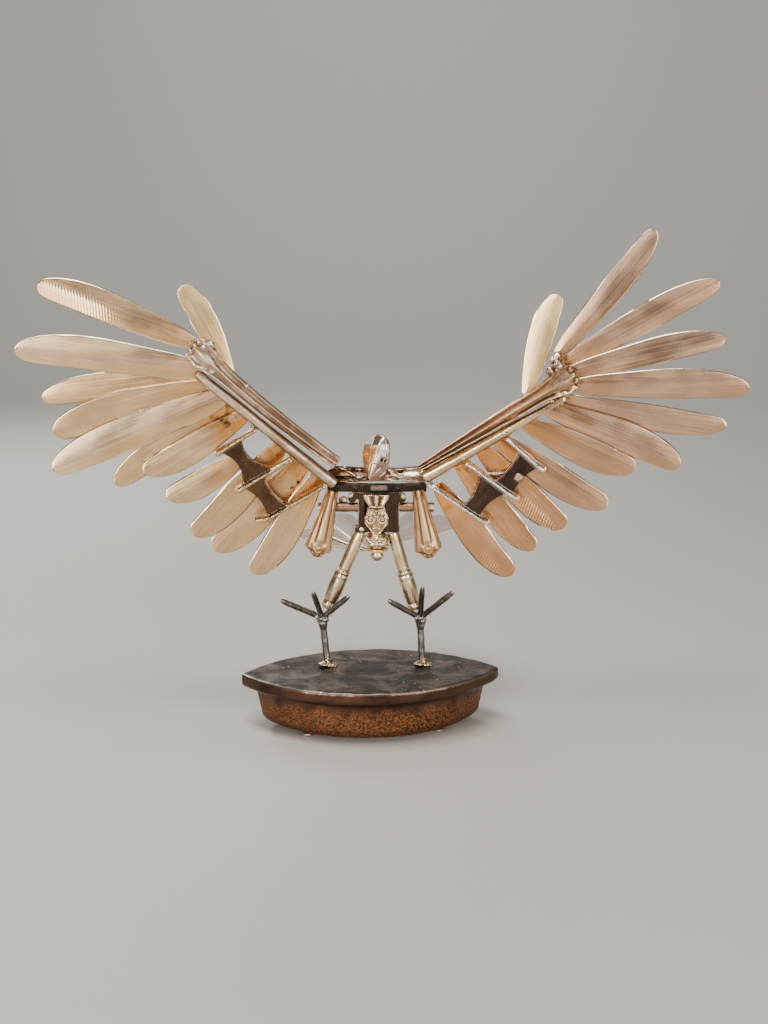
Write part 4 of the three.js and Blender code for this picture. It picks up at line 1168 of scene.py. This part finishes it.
def make_base():
    mesh = cast("flat_iron_base", 1.1, 2)
    points = coordinates(mesh)
    low, high = points.min(0), points.max(0)
    size = np.subtract(base_high, base_low)
    points = np.array(base_low) + (points - low) * size / (high - low)
    move_to(mesh, points)
    press(mesh, rough(mesh, 14, 0.35, 1) + rough(mesh, 3, 0.1, 2) - 0.25)
    below = (base_high.z - points[:, 2]) / MM
    in_rim = below < RIM_END
    up = normals(mesh)[:, 2]
    set_values(mesh, "sole", smooth_step(up, 0.45, 0.75) * in_rim)
    # Shine here is the painted highlight on the front arris, growing towards the right.
    shine = 0.35 + 0.65 * smooth_step(points[:, 0], SHINE_FROM, SHINE_FULL)
    shine = np.where(points[:, 1] < CENTRE.y, shine, 0.3)
    set_values(mesh, "arris", shine * ridge(up - 0.55, 0.4) * in_rim)
    set_values(mesh, "low", smooth_step(below + rough(mesh, 9, 5, 4), RUST_FROM, RUST_FULL))
    add_piece("flat_iron", mesh, node_slot("flat_iron_base"), "flat_iron_base")
    for end in ("front", "back"):
        for side in WING_SIDES:
            node = f"base_stud_{end}_{side}"
            mesh = cast(node, 0.25)
            dress(node, "metal", mesh)


# Floor, camera and lights

def make_stage():
    """A pale floor that sweeps up into a wall far behind."""
    profile = [(-FLOOR_REACH, 0.0), (WALL_PLACE - WALL_CURVE, 0.0)]
    for step in range(1, CURVE_STEPS + 1):
        angle = math.radians(90 * step / CURVE_STEPS)
        profile.append((WALL_PLACE - WALL_CURVE * (1 - math.sin(angle)),
                        WALL_CURVE * (1 - math.cos(angle))))
    profile.append((WALL_PLACE, WALL_HEIGHT))
    bm = bmesh.new()
    rows = [[bm.verts.new((x, y, z)) for x in (-FLOOR_REACH, FLOOR_REACH)] for y, z in profile]
    for first, second in zip(rows, rows[1:]):
        bm.faces.new((first[0], first[1], second[1], second[0]))
    mesh = to_mesh(bm, "floor")
    mesh.polygons.foreach_set("use_smooth", [True] * len(mesh.polygons))
    floor = new_object("floor", mesh)
    paint = bpy.data.materials.new("floor")
    paint.use_nodes = True
    surface = paint.node_tree.nodes["Principled BSDF"]
    surface.inputs["Base Color"].default_value = FLOOR_COLOUR
    surface.inputs["Roughness"].default_value = 0.75
    mesh.materials.append(paint)


def make_camera():
    camera = bpy.data.cameras.new("camera")
    camera.sensor_fit = "AUTO"
    camera.sensor_width = SENSOR_WIDTH
    camera.lens = FOCAL_PIXELS / IMAGE_HEIGHT * SENSOR_WIDTH
    camera.clip_start = 0.01
    holder = new_object("camera", camera)
    holder.location = camera_position()
    holder.rotation_euler = (math.radians(90) - CAMERA_PITCH, 0, 0)
    bpy.context.scene.camera = holder


def add_light(name, place, target, size, power, colour):
    light = bpy.data.lights.new(name, "AREA")
    light.shape = "RECTANGLE"
    light.size, light.size_y = size
    light.energy = power
    light.color = colour
    holder = new_object(name, light)
    holder.location = place
    holder.rotation_euler = (Vector(target) - Vector(place)).to_track_quat("-Z", "Y").to_euler()
    holder.visible_camera = False


# Soft lights: place, target, size, power and colour, with the hawk's middle as LIT.
LIT = (CENTRE.x, CENTRE.y, 0.17)
LIGHTS = {
    "key": ((-0.7, -1.4, 0.32), LIT, (0.7, 0.5), 16, (1, 0.93, 0.83)),
    "fill": ((0.9, -1.35, 0.36), LIT, (1.0, 0.9), 20, (1, 0.93, 0.83)),
    "top": ((-0.2, -0.2, 1.2), LIT, (0.9, 0.4), 15, (1, 0.95, 0.88)),
    "rim": ((-0.6, 1.0, 0.8), LIT, (0.5, 0.5), 9, (1, 0.97, 0.95)),
    "wall": ((0, 1.0, 1.7), (0, WALL_PLACE, 0.9), (2.0, 0.5), 22, (1, 0.97, 0.94)),
}
SKY_COLOUR = (0.62, 0.6, 0.57, 1)
SKY_STRENGTH = 0.2


def make_lights():
    for name, settings in LIGHTS.items():
        add_light(name, *settings)
    world = bpy.data.worlds.new("world")
    world.use_nodes = True
    sky = world.node_tree.nodes["Background"]
    sky.inputs["Color"].default_value = SKY_COLOUR
    sky.inputs["Strength"].default_value = SKY_STRENGTH
    bpy.context.scene.world = world


make_camera()
make_lights()
make_stage()
make_base()
make_legs()
make_body()
make_brackets()
make_ring_arc()
make_arms()
make_hanging_handles()
make_blades()
make_welds()
